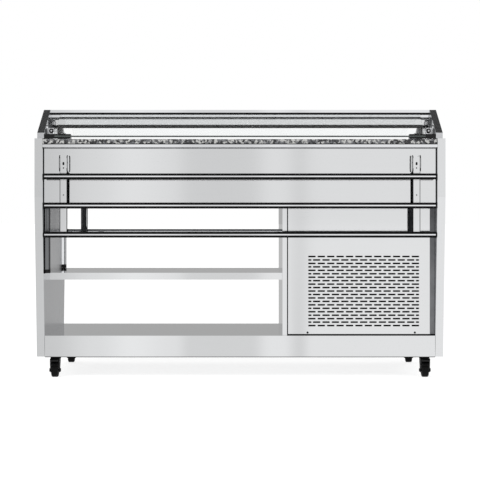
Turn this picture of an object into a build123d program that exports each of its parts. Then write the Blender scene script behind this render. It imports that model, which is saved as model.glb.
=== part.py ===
from build123d import *
import os
from math import atan2, cos, sin, tan

# A refrigerated buffet table, in millimetres. X runs along the counter, the front faces -Y, Z is up,
# and the origin is on the floor under the middle of the counter.

# Overall sizes
LENGTH = 1524
DEPTH = 760
COUNTER_TOP = 892
END_RISE = 3
KINK_HEIGHT = 677
BASE_SET_BACK = 68
BASE_BOTTOM = 79
BASE_HEIGHT = 78.5

# Sheet metal
SHEET = 1.2
END_THICK = 29
END_RETURN = 12
SEAT = 0.3
END_GAP = 0.5

# Counter and tank
GRANITE_THICK = 18
FRAME_HEIGHT = 12
APRON_SET_BACK = 35
TANK_DEPTH = 256
WELL_FROM_END = 107
WELL_FROM_EDGE = 113
WELL_DEPTH = 202
WELL_FLANGE = 34
CUTOUT_MARGIN = 5
FOAM_FROM_END = 62
COIL_SPACE = 20
COIL_RUNS = 6
PAN_BAR_COUNT = 3
PAN_BAR_WIDTH = 22

# Storage bay and machine bay
SHELF_TOP = 391
SHELF_LIP = 26
SHELF_DEPTH = 500
BAY_LENGTH = 602
DIVIDER_FLANGE = 17
BAY_SET_BACK = 20
WALL_GAP = 1
PANEL_GAP = 4
PANEL_RETURN = 12

# Slots of the service panels
SLOT_LENGTH = 28.4
SLOT_HEIGHT = 6.2
SLOT_PITCH_X = 35.4
SLOT_PITCH_Z = 13
SLOT_ROWS = 21
SLOT_MARGIN = 55
SLOT_SHIFT = 9.25
SLOT_RISE = 36.5
SCREW_HEAD_R = 4
SCREW_HEAD_H = 2.4
SCREW_R = 2
SCREW_LENGTH = 8
SCREW_INSET = 6.9
SCREW_EDGE = 10

# Tray slides
BAR_R = 11
BAR_WALL = 1.5
BAR_GAP = 6
BAR_DROP = 138.6
BAR_PITCH = 107.75
BAR_COUNT = 3
BAR_SINK = 1
ARM_FROM_END = 108
ARM_WIDTH = 23
ARM_WALL = 1.8
ARM_STAND = 42
ARM_DEPTH = 10.7
ARM_HEAD = 22
ARM_ROUND = 3
ARM_SLACK = 0.5
ARM_FOOT = 9
BRACKET_DROP = 60
BRACKET_HEIGHT = 60
BRACKET_WALL = 1.8
BRACKET_REACH = 47
PIVOT_DROP = 27
PIVOT_R = 2.5
PIVOT_SET_BACK = 5.6
PIVOT_CLEAR = 0.05
ARM_SLOT_WIDTH = 7
ARM_SLOT_LENGTH = 12
ARM_SLOT_DROP = 4
ARM_HOLE_R = 2.5
UPPER_HOLE_DROP = 20.3
LOWER_HOLE_DROP = 120.3

# Canopy
CANOPY_SET_BACK = 12
CANOPY_SIDE = 25
CANOPY_OUTSET = 8.5
CANOPY_SHEET = 1.5
CANOPY_FOOT = 21.4
CANOPY_HEIGHT = 119
RIDGE_Y = 168
RAIL_DEPTH = 18
RAIL_HEIGHT = 29
RAIL_GROOVE = 4
GLASS = 6
GLASS_FROM_END = 72
GLASS_DROP = 12.5
GLASS_BITE = 3.5
TOP_GLASS_SEAT = 8
LIGHT_FROM_END = 46
LIGHT_DEPTH = 240
LIGHT_DROP = 54
LIGHT_HEIGHT = 22
LENS_INSET = 66
LENS_WIDTH = 46
LENS_RIM = 6
CLAMP_LENGTH = 98
CLAMP_DEPTH = 22
CLAMP_HEIGHT = 16

# Lift columns
COLUMN_FROM_END = 27
COLUMN_FROM_EDGE = 110
COLUMN_R = 17.25
COLUMN_WALL = 2
COLUMN_RISE = 52
COLUMN_FOOT_GAP = 7
GUIDE_R = 19
GUIDE_WALL = 1.5
GUIDE_HOLE_CLEAR = 0.3
GUIDE_FOOT = 14
BLOCK_REACH = 38
BLOCK_HALF_DEPTH = 22
BLOCK_HEIGHT = 46
BLOCK_CLEAR = 0.25
BLOCK_SIDE_GAP = 0.8
KNOB_REACH = 26
KNOB_HEIGHT = 35
KNOB_R = 8.5
KNOB_DEPTH = 12
KNOB_SHAFT_R = 3
KNOB_SHAFT_LENGTH = 9
KNOB_CLEAR = 0.05

# Casters
CASTER_FROM_END = 65
CASTER_FROM_EDGE = 50
CASTER_PLATE = 64
CASTER_PLATE_THICK = 3.5
CASTER_BOLT_SPAN = 48
CASTER_BOLT_R = 3.5
CASTER_TRAIL = 20
RACE_R = 20
RACE_HEIGHT = 5.5
KING_PIN_R = 5
KING_HEAD_R = 7.5
KING_HEAD_HEIGHT = 3.5
CROWN_HEIGHT = 9.4
RUN_CLEAR = 0.05
FACE_CLEAR = 0.3
WHEEL_R = 26
WHEEL_WIDTH = 26
TYRE_THICK = 7
RIM_WALL = 3
HUB_WALL = 4
HUB_RECESS = 3.9
AXLE_R = 4
AXLE_HEAD_R = 6.5
AXLE_HEAD_HEIGHT = 3.5
LEG_THICK = 3
LEG_GAP = 2
LEG_MARGIN = 5
CROWN_INSET = 4
PEDAL_WIDTH = 28
PEDAL_PIN_R = 2
PEDAL_PIN_Y = 33
PEDAL_REACH = 24
PEDAL_HUB_R = 5
PEDAL_DROP = 1.5

# Condensing unit
UNIT_FROM_DIVIDER = 70
UNIT_FROM_END = 72
UNIT_SET_BACK = 62
UNIT_PLATE = 3
CONDENSER_REACH = 55
CONDENSER_LENGTH = 290
CONDENSER_DEPTH = 60
CONDENSER_HEIGHT = 290
CONDENSER_SET_BACK = 70
FIN_PITCH = 8
FIN_GAP = 4
FIN_CUT = 18
SHROUD_DEPTH = 40
FAN_R = 105
FAN_CLEAR = 6
FAN_HUB_R = 24
FAN_HUB_LENGTH = 22
FAN_BLADES = 5
FAN_PITCH_ANGLE = 28
FAN_BLADE_WIDTH = 42
FAN_BLADE_THICK = 2
MOTOR_R = 42
MOTOR_LENGTH = 62
MOTOR_SHAFT_R = 4
COMPRESSOR_REACH = 170
COMPRESSOR_Y = 130
COMPRESSOR_R = 82
COMPRESSOR_HEIGHT = 190
COMPRESSOR_ROUND = 38
COMPRESSOR_FOOT = 180
COMPRESSOR_FOOT_THICK = 8
LINE_R = 4.8
LINE_BEND = 30
DRAIN_FROM_WELL_END = 45
DRAIN_R = 15
DRAIN_WALL = 2
DRAIN_DROP = 96
VALVE_R = 21
VALVE_HEIGHT = 46
STEM_R = 5
STEM_REACH = 14
LEVER_LENGTH = 78
LEVER_WIDTH = 16
LEVER_THICK = 4

# Controls at the back
CONTROL_FROM_END = 72
CONTROL_LENGTH = 150
CONTROL_DROP = 36
CONTROL_HEIGHT = 100
CONTROL_DEPTH = 80
CONTROL_WALL = 2
SWITCH_REACH = 40
SWITCH_WIDTH = 22
SWITCH_HEIGHT = 30
SWITCH_PIVOT_R = 2
SWITCH_ROUND = 17
SWITCH_CLEAR = 2
SWITCH_RISE = 3
SWITCH_DIP = 2
DIAL_REACH = 105
DIAL_R = 19
DIAL_DEPTH = 16
DIAL_SHAFT_R = 3
DIAL_HOLE_CLEAR = 1
INLET_REACH = 120
INLET_RISE = 142.5
INLET_WIDTH = 30
INLET_HEIGHT = 24
INLET_DEPTH = 26
INLET_WALL = 2
INLET_PIN = 3

# Places worked out from the sizes above
HALF_LENGTH = LENGTH / 2
HALF_DEPTH = DEPTH / 2
BASE_HALF_DEPTH = HALF_DEPTH - BASE_SET_BACK
BAY_Y = BASE_HALF_DEPTH - BAY_SET_BACK
BASE_TOP = BASE_BOTTOM + BASE_HEIGHT
END_TOP = COUNTER_TOP + END_RISE
INNER_X = HALF_LENGTH - END_THICK
BETWEEN_ENDS = INNER_X - END_GAP
LINER_X = INNER_X - SHEET
GRANITE_BOTTOM = COUNTER_TOP - GRANITE_THICK
FRAME_BOTTOM = GRANITE_BOTTOM - FRAME_HEIGHT
APRON_Y = HALF_DEPTH - APRON_SET_BACK
TANK_BOTTOM = COUNTER_TOP - TANK_DEPTH
WELL_LENGTH = LENGTH - 2 * WELL_FROM_END
WELL_WIDTH = DEPTH - 2 * WELL_FROM_EDGE
WELL_FLOOR = COUNTER_TOP - WELL_DEPTH
FLANGE_X = WELL_LENGTH / 2 + WELL_FLANGE
FLANGE_Y = WELL_WIDTH / 2 + WELL_FLANGE
FLANGE_BOTTOM = GRANITE_BOTTOM - SHEET
COIL_Z = WELL_FLOOR - SHEET - LINE_R
DIVIDER_X = HALF_LENGTH - BAY_LENGTH
PANEL_X = (DIVIDER_X + DIVIDER_FLANGE + PANEL_GAP, LINER_X - SEAT)
PANEL_Z = (BASE_TOP + SEAT, TANK_BOTTOM - SEAT)
SLOT_COLUMNS = int((PANEL_X[1] - PANEL_X[0] - 2 * SLOT_MARGIN) / SLOT_PITCH_X)
SLOT_CENTRE_X = sum(PANEL_X) / 2 + SLOT_SHIFT
SLOT_REACH = (SLOT_COLUMNS - 1) / 2 * SLOT_PITCH_X
SLOT_EDGE = SLOT_REACH + SLOT_LENGTH / 2
SLOT_LOWEST = BASE_TOP + SLOT_RISE
SCREW_XS = [sum(PANEL_X) / 2 + side * (SLOT_EDGE - SCREW_INSET) for side in (-1, 1)]
SCREW_Z = PANEL_Z[0] + SCREW_EDGE
ARM_X = HALF_LENGTH - ARM_FROM_END
ARM_FRONT = APRON_Y + ARM_STAND
ARM_BACK = ARM_FRONT - ARM_DEPTH
BRACKET_TOP = COUNTER_TOP - BRACKET_DROP
BRACKET_FOOT = BRACKET_TOP - BRACKET_HEIGHT
PIVOT_Y = ARM_FRONT - PIVOT_SET_BACK
PIVOT_Z = BRACKET_TOP - PIVOT_DROP
BAR_Y = ARM_FRONT + BAR_R - BAR_SINK
BAR_HEIGHTS = [COUNTER_TOP - BAR_DROP - i * BAR_PITCH for i in range(BAR_COUNT)]
SIDE_OUTER = HALF_LENGTH - CANOPY_OUTSET
SIDE_INNER = SIDE_OUTER - CANOPY_SIDE
CANOPY_Y = HALF_DEPTH - CANOPY_SET_BACK
CANOPY_SHOULDER = END_TOP + CANOPY_FOOT
CANOPY_TOP = END_TOP + CANOPY_HEIGHT
SLOPE = atan2(CANOPY_TOP - CANOPY_SHOULDER, CANOPY_Y - RIDGE_Y)
GLASS_HALF_LENGTH = HALF_LENGTH - GLASS_FROM_END
LIGHT_HALF_LENGTH = HALF_LENGTH - LIGHT_FROM_END
LIGHT_BOTTOM = CANOPY_TOP - LIGHT_DROP
LENS_LENGTH = 2 * (LIGHT_HALF_LENGTH - LENS_INSET)
COLUMN_X = HALF_LENGTH - COLUMN_FROM_END
COLUMN_Y = HALF_DEPTH - COLUMN_FROM_EDGE
COLUMN_TOP = COUNTER_TOP + COLUMN_RISE
COLUMN_FOOT = SHELF_TOP + GUIDE_FOOT + COLUMN_FOOT_GAP
BLOCK_INNER_X = COLUMN_X - BLOCK_REACH
BLOCK_TOP = COUNTER_TOP + BLOCK_HEIGHT
KNOB_X = COLUMN_X - KNOB_REACH
KNOB_Z = COUNTER_TOP + KNOB_HEIGHT
CASTER_X = HALF_LENGTH - CASTER_FROM_END
CASTER_Y = BASE_HALF_DEPTH - CASTER_FROM_EDGE
LEG_INNER = WHEEL_WIDTH / 2 + LEG_GAP
LEG_OUTER = LEG_INNER + LEG_THICK
PLATE_BOTTOM = BASE_BOTTOM - CASTER_PLATE_THICK
RACE_BOTTOM = PLATE_BOTTOM - RACE_HEIGHT
CROWN_TOP = RACE_BOTTOM - FACE_CLEAR
CROWN_BOTTOM = CROWN_TOP - CROWN_HEIGHT
PEDAL_Z = CROWN_BOTTOM + PEDAL_HUB_R - PEDAL_DROP
UNIT_X = (DIVIDER_X + UNIT_FROM_DIVIDER, HALF_LENGTH - UNIT_FROM_END)
UNIT_HALF_DEPTH = BAY_Y - UNIT_SET_BACK
UNIT_TOP = BASE_TOP + UNIT_PLATE
CONDENSER_X = (UNIT_X[0] + CONDENSER_REACH, UNIT_X[0] + CONDENSER_REACH + CONDENSER_LENGTH)
CONDENSER_FRONT = BAY_Y - CONDENSER_SET_BACK
COMPRESSOR_X = UNIT_X[0] + COMPRESSOR_REACH
FAN_X = sum(CONDENSER_X) / 2
FAN_Z = UNIT_TOP + CONDENSER_HEIGHT / 2
SHROUD_Y = CONDENSER_FRONT - CONDENSER_DEPTH
FAN_Y = SHROUD_Y - SHROUD_DEPTH / 2
DRAIN_X = WELL_LENGTH / 2 - DRAIN_FROM_WELL_END
VALVE_TOP = TANK_BOTTOM - DRAIN_DROP / 2
BACK_FACE = BAY_Y
CONTROL_X = (HALF_LENGTH - CONTROL_FROM_END - CONTROL_LENGTH, HALF_LENGTH - CONTROL_FROM_END)
CONTROL_Z = (TANK_BOTTOM - CONTROL_DROP - CONTROL_HEIGHT, TANK_BOTTOM - CONTROL_DROP)
CONTROL_MID_Z = sum(CONTROL_Z) / 2
SWITCH_X = CONTROL_X[0] + SWITCH_REACH
DIAL_X = CONTROL_X[0] + DIAL_REACH
DIAL_SEAT = BACK_FACE + FACE_CLEAR
INLET_X = CONTROL_X[0] + INLET_REACH
INLET_Z = BASE_TOP + INLET_RISE


def span(x, y, z):
    """A box between two limits on each axis."""
    middle = [(low + high) / 2 for low, high in (x, y, z)]
    size = [high - low for low, high in (x, y, z)]
    return Pos(*middle) * Box(*size)


def rod(radius, start, end):
    """A round bar from one point to another."""
    run = Vector(*end) - Vector(*start)
    return extrude(Plane(origin=start, z_dir=run) * Circle(radius), run.length)


def prism_x(points, x):
    """A side profile of (y, z) points, carried along X between two limits."""
    face = make_face(Polyline(*points, close=True))
    return extrude(Plane.YZ.offset(x[0]) * face, x[1] - x[0])


def left_right(shape):
    return [shape, mirror(shape, about=Plane.YZ)]


def front_back(shape):
    return [shape, mirror(shape, about=Plane.XZ)]


def at_corners(shape):
    return [copy for half in left_right(shape) for copy in front_back(half)]


def save(name, *shapes):
    solids = [solid for shape in shapes for solid in shape.solids()]
    export_step(Compound(children=solids), f"parts/{name}.step")


def column_holes(radius, z):
    """Round cuts for the four lift columns."""
    return at_corners(rod(radius, (COLUMN_X, COLUMN_Y, z[0]), (COLUMN_X, COLUMN_Y, z[1])))


def edge_y(z):
    """Half the depth of the end panels at a height."""
    lean = (HALF_DEPTH - BASE_HALF_DEPTH) / (KINK_HEIGHT - BASE_BOTTOM)
    return HALF_DEPTH - max(0, KINK_HEIGHT - z) * lean


def end_profile(inset):
    """Outline of an end panel in (y, z), drawn in from its edges."""
    low, high = BASE_BOTTOM + inset, END_TOP - inset
    half = [(edge_y(z) - inset, z) for z in (low, KINK_HEIGHT, high)]
    return half + [(-y, z) for y, z in reversed(half)]


# Cabinet

def end_panel():
    """Folded tray: outer skin, edges and a short return along the inside."""
    panel = prism_x(end_profile(0), (INNER_X, HALF_LENGTH))
    panel -= prism_x(end_profile(SHEET), (INNER_X + SHEET, HALF_LENGTH - SHEET))
    panel -= prism_x(end_profile(END_RETURN), (INNER_X, INNER_X + SHEET))
    for hole in column_holes(GUIDE_R + GUIDE_HOLE_CLEAR, (FRAME_BOTTOM, END_TOP + SHEET)):
        panel -= hole
    return panel


def side_liner():
    """Inner skin below the shelf, with a ledge that reaches back to the outer skin."""
    half = [(edge_y(z) - SHEET, z) for z in (BASE_TOP, SHELF_TOP)]
    outline = half + [(-y, z) for y, z in reversed(half)]
    ledge_half = edge_y(SHELF_TOP - SHEET) - END_RETURN
    ledge = span((LINER_X, HALF_LENGTH - SHEET), (-ledge_half, ledge_half), (SHELF_TOP - SHEET, SHELF_TOP))
    return prism_x(outline, (LINER_X, INNER_X)) + ledge


def bay_cheek():
    """Skin that goes on up beside the back service panel, from the panel to the end panel's edge."""
    outline = [(edge_y(z) - SHEET, z) for z in (SHELF_TOP, TANK_BOTTOM)]
    outline += [(BAY_Y, TANK_BOTTOM), (BAY_Y, SHELF_TOP)]
    return prism_x(outline, (LINER_X, INNER_X))


def shelf_wall():
    """Inner skin above the shelf, between the two guide tubes of one end."""
    y = COLUMN_Y - GUIDE_R - WALL_GAP
    return span((LINER_X, INNER_X), (-y, y), (SHELF_TOP, TANK_BOTTOM))


def base_pan():
    """Hollow base with plinth faces, open underneath between the caster flanges."""
    x, y = BETWEEN_ENDS, BASE_HALF_DEPTH
    pan = span((-x, x), (-y, y), (BASE_BOTTOM, BASE_TOP))
    pan -= span((SHEET - x, x - SHEET), (SHEET - y, y - SHEET), (BASE_BOTTOM + SHEET, BASE_TOP - SHEET))
    flange_x = CASTER_X - CASTER_PLATE / 2
    flange_y = CASTER_Y - CASTER_PLATE / 2
    pan -= span((-flange_x, flange_x), (-flange_y, flange_y), (BASE_BOTTOM, BASE_BOTTOM + SHEET))
    bolt = rod(CASTER_BOLT_R, (0, 0, BASE_BOTTOM), (0, 0, BASE_BOTTOM + SHEET))
    for caster_x in (-CASTER_X, CASTER_X):
        for caster_y in (-CASTER_Y, CASTER_Y):
            for place in GridLocations(CASTER_BOLT_SPAN, CASTER_BOLT_SPAN, 2, 2):
                pan -= Pos(caster_x, caster_y, 0) * place * bolt
    return pan


def mid_shelf():
    """Shelf with a turned-down lip along its front and back edges."""
    y = SHELF_DEPTH / 2
    x = (-LINER_X, DIVIDER_X)
    shelf = span(x, (-y, y), (SHELF_TOP - SHELF_LIP, SHELF_TOP))
    shelf -= span(x, (SHEET - y, y - SHEET), (SHELF_TOP - SHELF_LIP, SHELF_TOP - SHEET))
    return shelf


def compartment_divider():
    z = (BASE_TOP, TANK_BOTTOM)
    wall = span((DIVIDER_X, DIVIDER_X + DIVIDER_FLANGE), (-BAY_Y, BAY_Y), z)
    wall -= span((DIVIDER_X + SHEET, DIVIDER_X + DIVIDER_FLANGE), (SHEET - BAY_Y, BAY_Y - SHEET), z)
    return wall


def slot_sketch():
    """Staggered rows of slots; every second row starts and ends with a short one."""
    full = SlotOverall(SLOT_LENGTH, SLOT_HEIGHT)
    half = SlotOverall((SLOT_LENGTH - SLOT_PITCH_X + SLOT_LENGTH) / 2 + SLOT_HEIGHT / 3, SLOT_HEIGHT)
    half_place = SLOT_EDGE - half.bounding_box().size.X / 2
    slots = []
    for row in range(SLOT_ROWS):
        z = SLOT_LOWEST + row * SLOT_PITCH_Z
        staggered = row % 2
        for column in range(SLOT_COLUMNS - staggered):
            x = SLOT_CENTRE_X - SLOT_REACH + (column + staggered / 2) * SLOT_PITCH_X
            slots.append(Pos(x, z) * full)
        if staggered:
            slots += [Pos(SLOT_CENTRE_X + side * half_place, z) * half for side in (-1, 1)]
    return slots


def service_panel():
    """Removable panel of the machine bay, its edges folded back, as it stands at the front."""
    width = PANEL_X[1] - PANEL_X[0]
    height = PANEL_Z[1] - PANEL_Z[0]
    middle = Pos(sum(PANEL_X) / 2, sum(PANEL_Z) / 2)
    sheet = middle * Rectangle(width, height) - slot_sketch()
    sheet -= [Pos(x, SCREW_Z) * Circle(SCREW_R + RUN_CLEAR) for x in SCREW_XS]
    rim = middle * (Rectangle(width, height) - Rectangle(width - 2 * SHEET, height - 2 * SHEET))
    back = Plane.XZ.offset(BAY_Y - SHEET)
    folds = extrude(back * rim, -PANEL_RETURN)
    for hole in column_holes(GUIDE_R + 2 * GUIDE_HOLE_CLEAR, (SHELF_TOP - SHEET, TANK_BOTTOM)):
        folds -= hole
    return extrude(back * sheet, SHEET) + folds


def panel_screws():
    """Pan-head screws along the foot of one service panel, at the front."""
    screws = []
    for x in SCREW_XS:
        head = rod(SCREW_HEAD_R, (x, -BAY_Y, SCREW_Z), (x, -BAY_Y - SCREW_HEAD_H, SCREW_Z))
        rim = head.edges().group_by(Axis.Y)[0]
        shank = rod(SCREW_R, (x, -BAY_Y, SCREW_Z), (x, SCREW_LENGTH - BAY_Y, SCREW_Z))
        screws.append(fillet(rim, SCREW_HEAD_H / 2) + shank)
    return screws


# Tank and counter

def apron():
    x = BETWEEN_ENDS
    return span((-x, x), (-APRON_Y, SHEET - APRON_Y), (TANK_BOTTOM, FRAME_BOTTOM))


def tank_floor():
    x, y = BETWEEN_ENDS, APRON_Y - SHEET
    floor = span((-x, x), (-y, y), (TANK_BOTTOM, TANK_BOTTOM + SHEET))
    for hole in column_holes(GUIDE_R + GUIDE_HOLE_CLEAR, (TANK_BOTTOM, TANK_BOTTOM + SHEET)):
        floor -= hole
    return floor - drain_hole()


def drain_hole():
    return rod(DRAIN_R + SEAT, (DRAIN_X, 0, TANK_BOTTOM), (DRAIN_X, 0, WELL_FLOOR))


def insulation():
    """Foam round the well, with a shallow space under the well floor for the coil."""
    x, y = HALF_LENGTH - FOAM_FROM_END, APRON_Y - SHEET
    foam = span((-x, x), (-y, y), (TANK_BOTTOM + SHEET, FRAME_BOTTOM))
    foam += span((-FLANGE_X, FLANGE_X), (-FLANGE_Y, FLANGE_Y), (FRAME_BOTTOM, FLANGE_BOTTOM))
    well_x, well_y = WELL_LENGTH / 2 + SHEET, WELL_WIDTH / 2 + SHEET
    foam -= span((-well_x, well_x), (-well_y, well_y), (WELL_FLOOR - COIL_SPACE, GRANITE_BOTTOM))
    return foam - drain_hole()


def well_liner():
    """Open basin with a flange under the granite."""
    x, y = WELL_LENGTH / 2, WELL_WIDTH / 2
    basin = span((-x - SHEET, x + SHEET), (-y - SHEET, y + SHEET), (WELL_FLOOR - SHEET, GRANITE_BOTTOM))
    basin += span((-FLANGE_X, FLANGE_X), (-FLANGE_Y, FLANGE_Y), (FLANGE_BOTTOM, GRANITE_BOTTOM))
    basin -= span((-x, x), (-y, y), (WELL_FLOOR, GRANITE_BOTTOM))
    return basin - rod(DRAIN_R - DRAIN_WALL, (DRAIN_X, 0, WELL_FLOOR - SHEET), (DRAIN_X, 0, WELL_FLOOR))


def counter_frame():
    """Four box rails that carry the granite and show as a bright lip along the front."""
    z = (FRAME_BOTTOM, GRANITE_BOTTOM)
    long_rail = span((-BETWEEN_ENDS, BETWEEN_ENDS), (-HALF_DEPTH, -FLANGE_Y), z)
    short_rail = span((FLANGE_X, BETWEEN_ENDS), (-FLANGE_Y, FLANGE_Y), z)
    for hole in column_holes(GUIDE_R + GUIDE_HOLE_CLEAR, z):
        long_rail -= hole
        short_rail -= hole
    return front_back(long_rail) + left_right(short_rail)


def granite_counter():
    x, y = BETWEEN_ENDS, HALF_DEPTH
    slab = span((-x, x), (-y, y), (GRANITE_BOTTOM, COUNTER_TOP))
    slab = fillet(slab.edges().filter_by(Axis.X).group_by(Axis.Z)[-1], GRANITE_THICK / 6)
    open_x, open_y = WELL_LENGTH / 2 + CUTOUT_MARGIN, WELL_WIDTH / 2 + CUTOUT_MARGIN
    slab -= span((-open_x, open_x), (-open_y, open_y), (GRANITE_BOTTOM, COUNTER_TOP))
    for hole in column_holes(GUIDE_R + GUIDE_HOLE_CLEAR, (GRANITE_BOTTOM, COUNTER_TOP)):
        slab -= hole
    return slab


def pan_bars():
    """Adapter bars across the well that the food pans hang on, resting on the well's flange."""
    reach = WELL_WIDTH / 2 + CUTOUT_MARGIN - SEAT
    pitch = WELL_LENGTH / (PAN_BAR_COUNT + 1)
    bars = []
    for i in range(PAN_BAR_COUNT):
        x = (i - (PAN_BAR_COUNT - 1) / 2) * pitch
        width = (x - PAN_BAR_WIDTH / 2, x + PAN_BAR_WIDTH / 2)
        bar = span(width, (-reach, reach), (GRANITE_BOTTOM, GRANITE_BOTTOM + 2 * SHEET))
        inner = WELL_WIDTH / 2 - CUTOUT_MARGIN
        web = (x - 2 * SHEET, x + 2 * SHEET)
        bar += span(web, (-inner, inner), (GRANITE_BOTTOM - FRAME_HEIGHT, GRANITE_BOTTOM))
        bars.append(bar)
    return bars


def evaporator_coil():
    """Serpentine of copper tube under the well floor."""
    reach = WELL_LENGTH / 2 - 2 * LINE_BEND
    pitch = (WELL_WIDTH - 2 * LINE_BEND) / (COIL_RUNS - 1)
    points = []
    for run in range(COIL_RUNS):
        y = (run - (COIL_RUNS - 1) / 2) * pitch
        side = 1 if run % 2 else -1
        points += [(-side * reach, y, COIL_Z), (side * reach, y, COIL_Z)]
    path = FilletPolyline(*points, radius=LINE_BEND)
    clear = rod(DRAIN_R + 2 * LINE_R, (DRAIN_X, 0, COIL_Z - LINE_R), (DRAIN_X, 0, COIL_Z + LINE_R))
    tube = sweep(Plane(origin=path @ 0, z_dir=path % 0) * Circle(LINE_R), path=path)
    return tube - clear


# Lift columns and their guides

def guide_tube():
    """Fixed outer tube that a lift column slides in."""
    foot, top = (COLUMN_X, COLUMN_Y, SHELF_TOP + GUIDE_FOOT), (COLUMN_X, COLUMN_Y, COUNTER_TOP)
    return rod(GUIDE_R, foot, top) - rod(GUIDE_R - GUIDE_WALL, foot, top)


def guide_tube_foot():
    return rod(GUIDE_R, (COLUMN_X, COLUMN_Y, SHELF_TOP), (COLUMN_X, COLUMN_Y, SHELF_TOP + GUIDE_FOOT))


def lift_column():
    """Inner tube, closed at the top."""
    foot, top = (COLUMN_X, COLUMN_Y, COLUMN_FOOT), (COLUMN_X, COLUMN_Y, COLUMN_TOP)
    bore_top = (COLUMN_X, COLUMN_Y, COLUMN_TOP - COLUMN_WALL)
    return rod(COLUMN_R, foot, top) - rod(COLUMN_R - COLUMN_WALL, foot, bore_top)


def column_guide(with_knob):
    """Guide block on the counter at the front right column, bored for the clamp knob's shaft."""
    x = (BLOCK_INNER_X, SIDE_INNER - BLOCK_SIDE_GAP)
    y = (-COLUMN_Y - BLOCK_HALF_DEPTH, BLOCK_HALF_DEPTH - COLUMN_Y)
    block = span(x, y, (COUNTER_TOP, BLOCK_TOP))
    block = fillet(block.edges().filter_by(Axis.Z).group_by(Axis.X)[0], BLOCK_HALF_DEPTH / 3)
    bore = COLUMN_R + BLOCK_CLEAR
    block -= rod(bore, (COLUMN_X, -COLUMN_Y, COUNTER_TOP), (COLUMN_X, -COLUMN_Y, BLOCK_TOP))
    if with_knob:
        depth = KNOB_SHAFT_LENGTH + FACE_CLEAR
        block -= rod(KNOB_SHAFT_R + KNOB_CLEAR, (KNOB_X, y[0], KNOB_Z), (KNOB_X, y[0] + depth, KNOB_Z))
    return block


def clamp_knob():
    """Round knob with a recessed face and a shaft into the guide block, front right."""
    face = -COLUMN_Y - BLOCK_HALF_DEPTH - FACE_CLEAR
    knob = rod(KNOB_R, (KNOB_X, face, KNOB_Z), (KNOB_X, face - KNOB_DEPTH, KNOB_Z))
    knob = fillet(knob.edges().group_by(Axis.Y)[0], KNOB_R / 5)
    for turn in PolarLocations(KNOB_R + KNOB_R / 12, 8):
        flute = turn * rod(KNOB_R / 6, (0, 0, 0), (0, 0, KNOB_DEPTH))
        knob -= Pos(KNOB_X, face, KNOB_Z) * Rot(90, 0, 0) * flute
    return knob + rod(KNOB_SHAFT_R, (KNOB_X, face, KNOB_Z), (KNOB_X, face + KNOB_SHAFT_LENGTH, KNOB_Z))


# Canopy

def canopy_profile(inset):
    half = [(CANOPY_Y - inset, END_TOP), (CANOPY_Y - inset, CANOPY_SHOULDER - inset * tan(SLOPE / 2))]
    half.append((RIDGE_Y - inset * tan(SLOPE / 2), CANOPY_TOP - inset))
    return half + [(-y, z) for y, z in reversed(half)]


def canopy_side():
    """Closed end of the canopy: a sheet-metal box, open underneath, notched for its columns."""
    side = prism_x(canopy_profile(0), (SIDE_INNER, SIDE_OUTER))
    side -= prism_x(canopy_profile(CANOPY_SHEET), (SIDE_INNER + CANOPY_SHEET, SIDE_OUTER - CANOPY_SHEET))
    for notch in front_back(rod(COLUMN_R, (COLUMN_X, COLUMN_Y, END_TOP), (COLUMN_X, COLUMN_Y, COLUMN_TOP))):
        side -= notch
    return side


def ridge_rail():
    """Front rail along the ridge, grooved for the sloped glass and rebated for the top glass."""
    x = (-SIDE_INNER, SIDE_INNER)
    back = RAIL_DEPTH - RIDGE_Y
    rail = span(x, (-RIDGE_Y, back), (CANOPY_TOP - RAIL_HEIGHT, CANOPY_TOP))
    rail -= span(x, (back - TOP_GLASS_SEAT, back), (CANOPY_TOP - GLASS, CANOPY_TOP))
    low = glass_line(RIDGE_Y) - GLASS / 2 / cos(SLOPE) - SEAT
    high = glass_line(RIDGE_Y - RAIL_GROOVE) + GLASS / 2 / cos(SLOPE) + SEAT
    return rail - span(x, (-RIDGE_Y, RAIL_GROOVE - RIDGE_Y), (low, high))


def glass_line(y):
    """Height of the middle of the sloped glass at a distance from the canopy's middle."""
    return CANOPY_SHOULDER - GLASS_DROP / cos(SLOPE) + (CANOPY_Y - y) * tan(SLOPE)


def sloped_glass():
    """Front pane, from its clamps up into the ridge rail's groove."""
    half = GLASS / 2
    lower = (-CANOPY_Y, glass_line(CANOPY_Y))
    upper = (GLASS_BITE - RIDGE_Y - half * sin(SLOPE), glass_line(RIDGE_Y - GLASS_BITE + half * sin(SLOPE)))
    off_y, off_z = -half * sin(SLOPE), half * cos(SLOPE)
    points = [(lower[0] + off_y, lower[1] + off_z), (upper[0] + off_y, upper[1] + off_z)]
    points += [(upper[0] - off_y, upper[1] - off_z), (lower[0] - off_y, lower[1] - off_z)]
    return prism_x(points, (-GLASS_HALF_LENGTH, GLASS_HALF_LENGTH))


def glass_clamp():
    """Clamp at the front right foot that grips the lower corner of the sloped glass."""
    low = END_TOP + 2 * SEAT
    x = (SIDE_INNER - CLAMP_LENGTH, SIDE_INNER)
    clamp = span(x, (-CANOPY_Y + SHEET, CLAMP_DEPTH - CANOPY_Y), (low, low + CLAMP_HEIGHT))
    return clamp - sloped_glass()


def top_glass():
    y = RIDGE_Y - RAIL_DEPTH + TOP_GLASS_SEAT - SEAT
    x = SIDE_INNER - SEAT
    return span((-x, x), (-y, y), (CANOPY_TOP - GLASS, CANOPY_TOP - SEAT))


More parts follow.
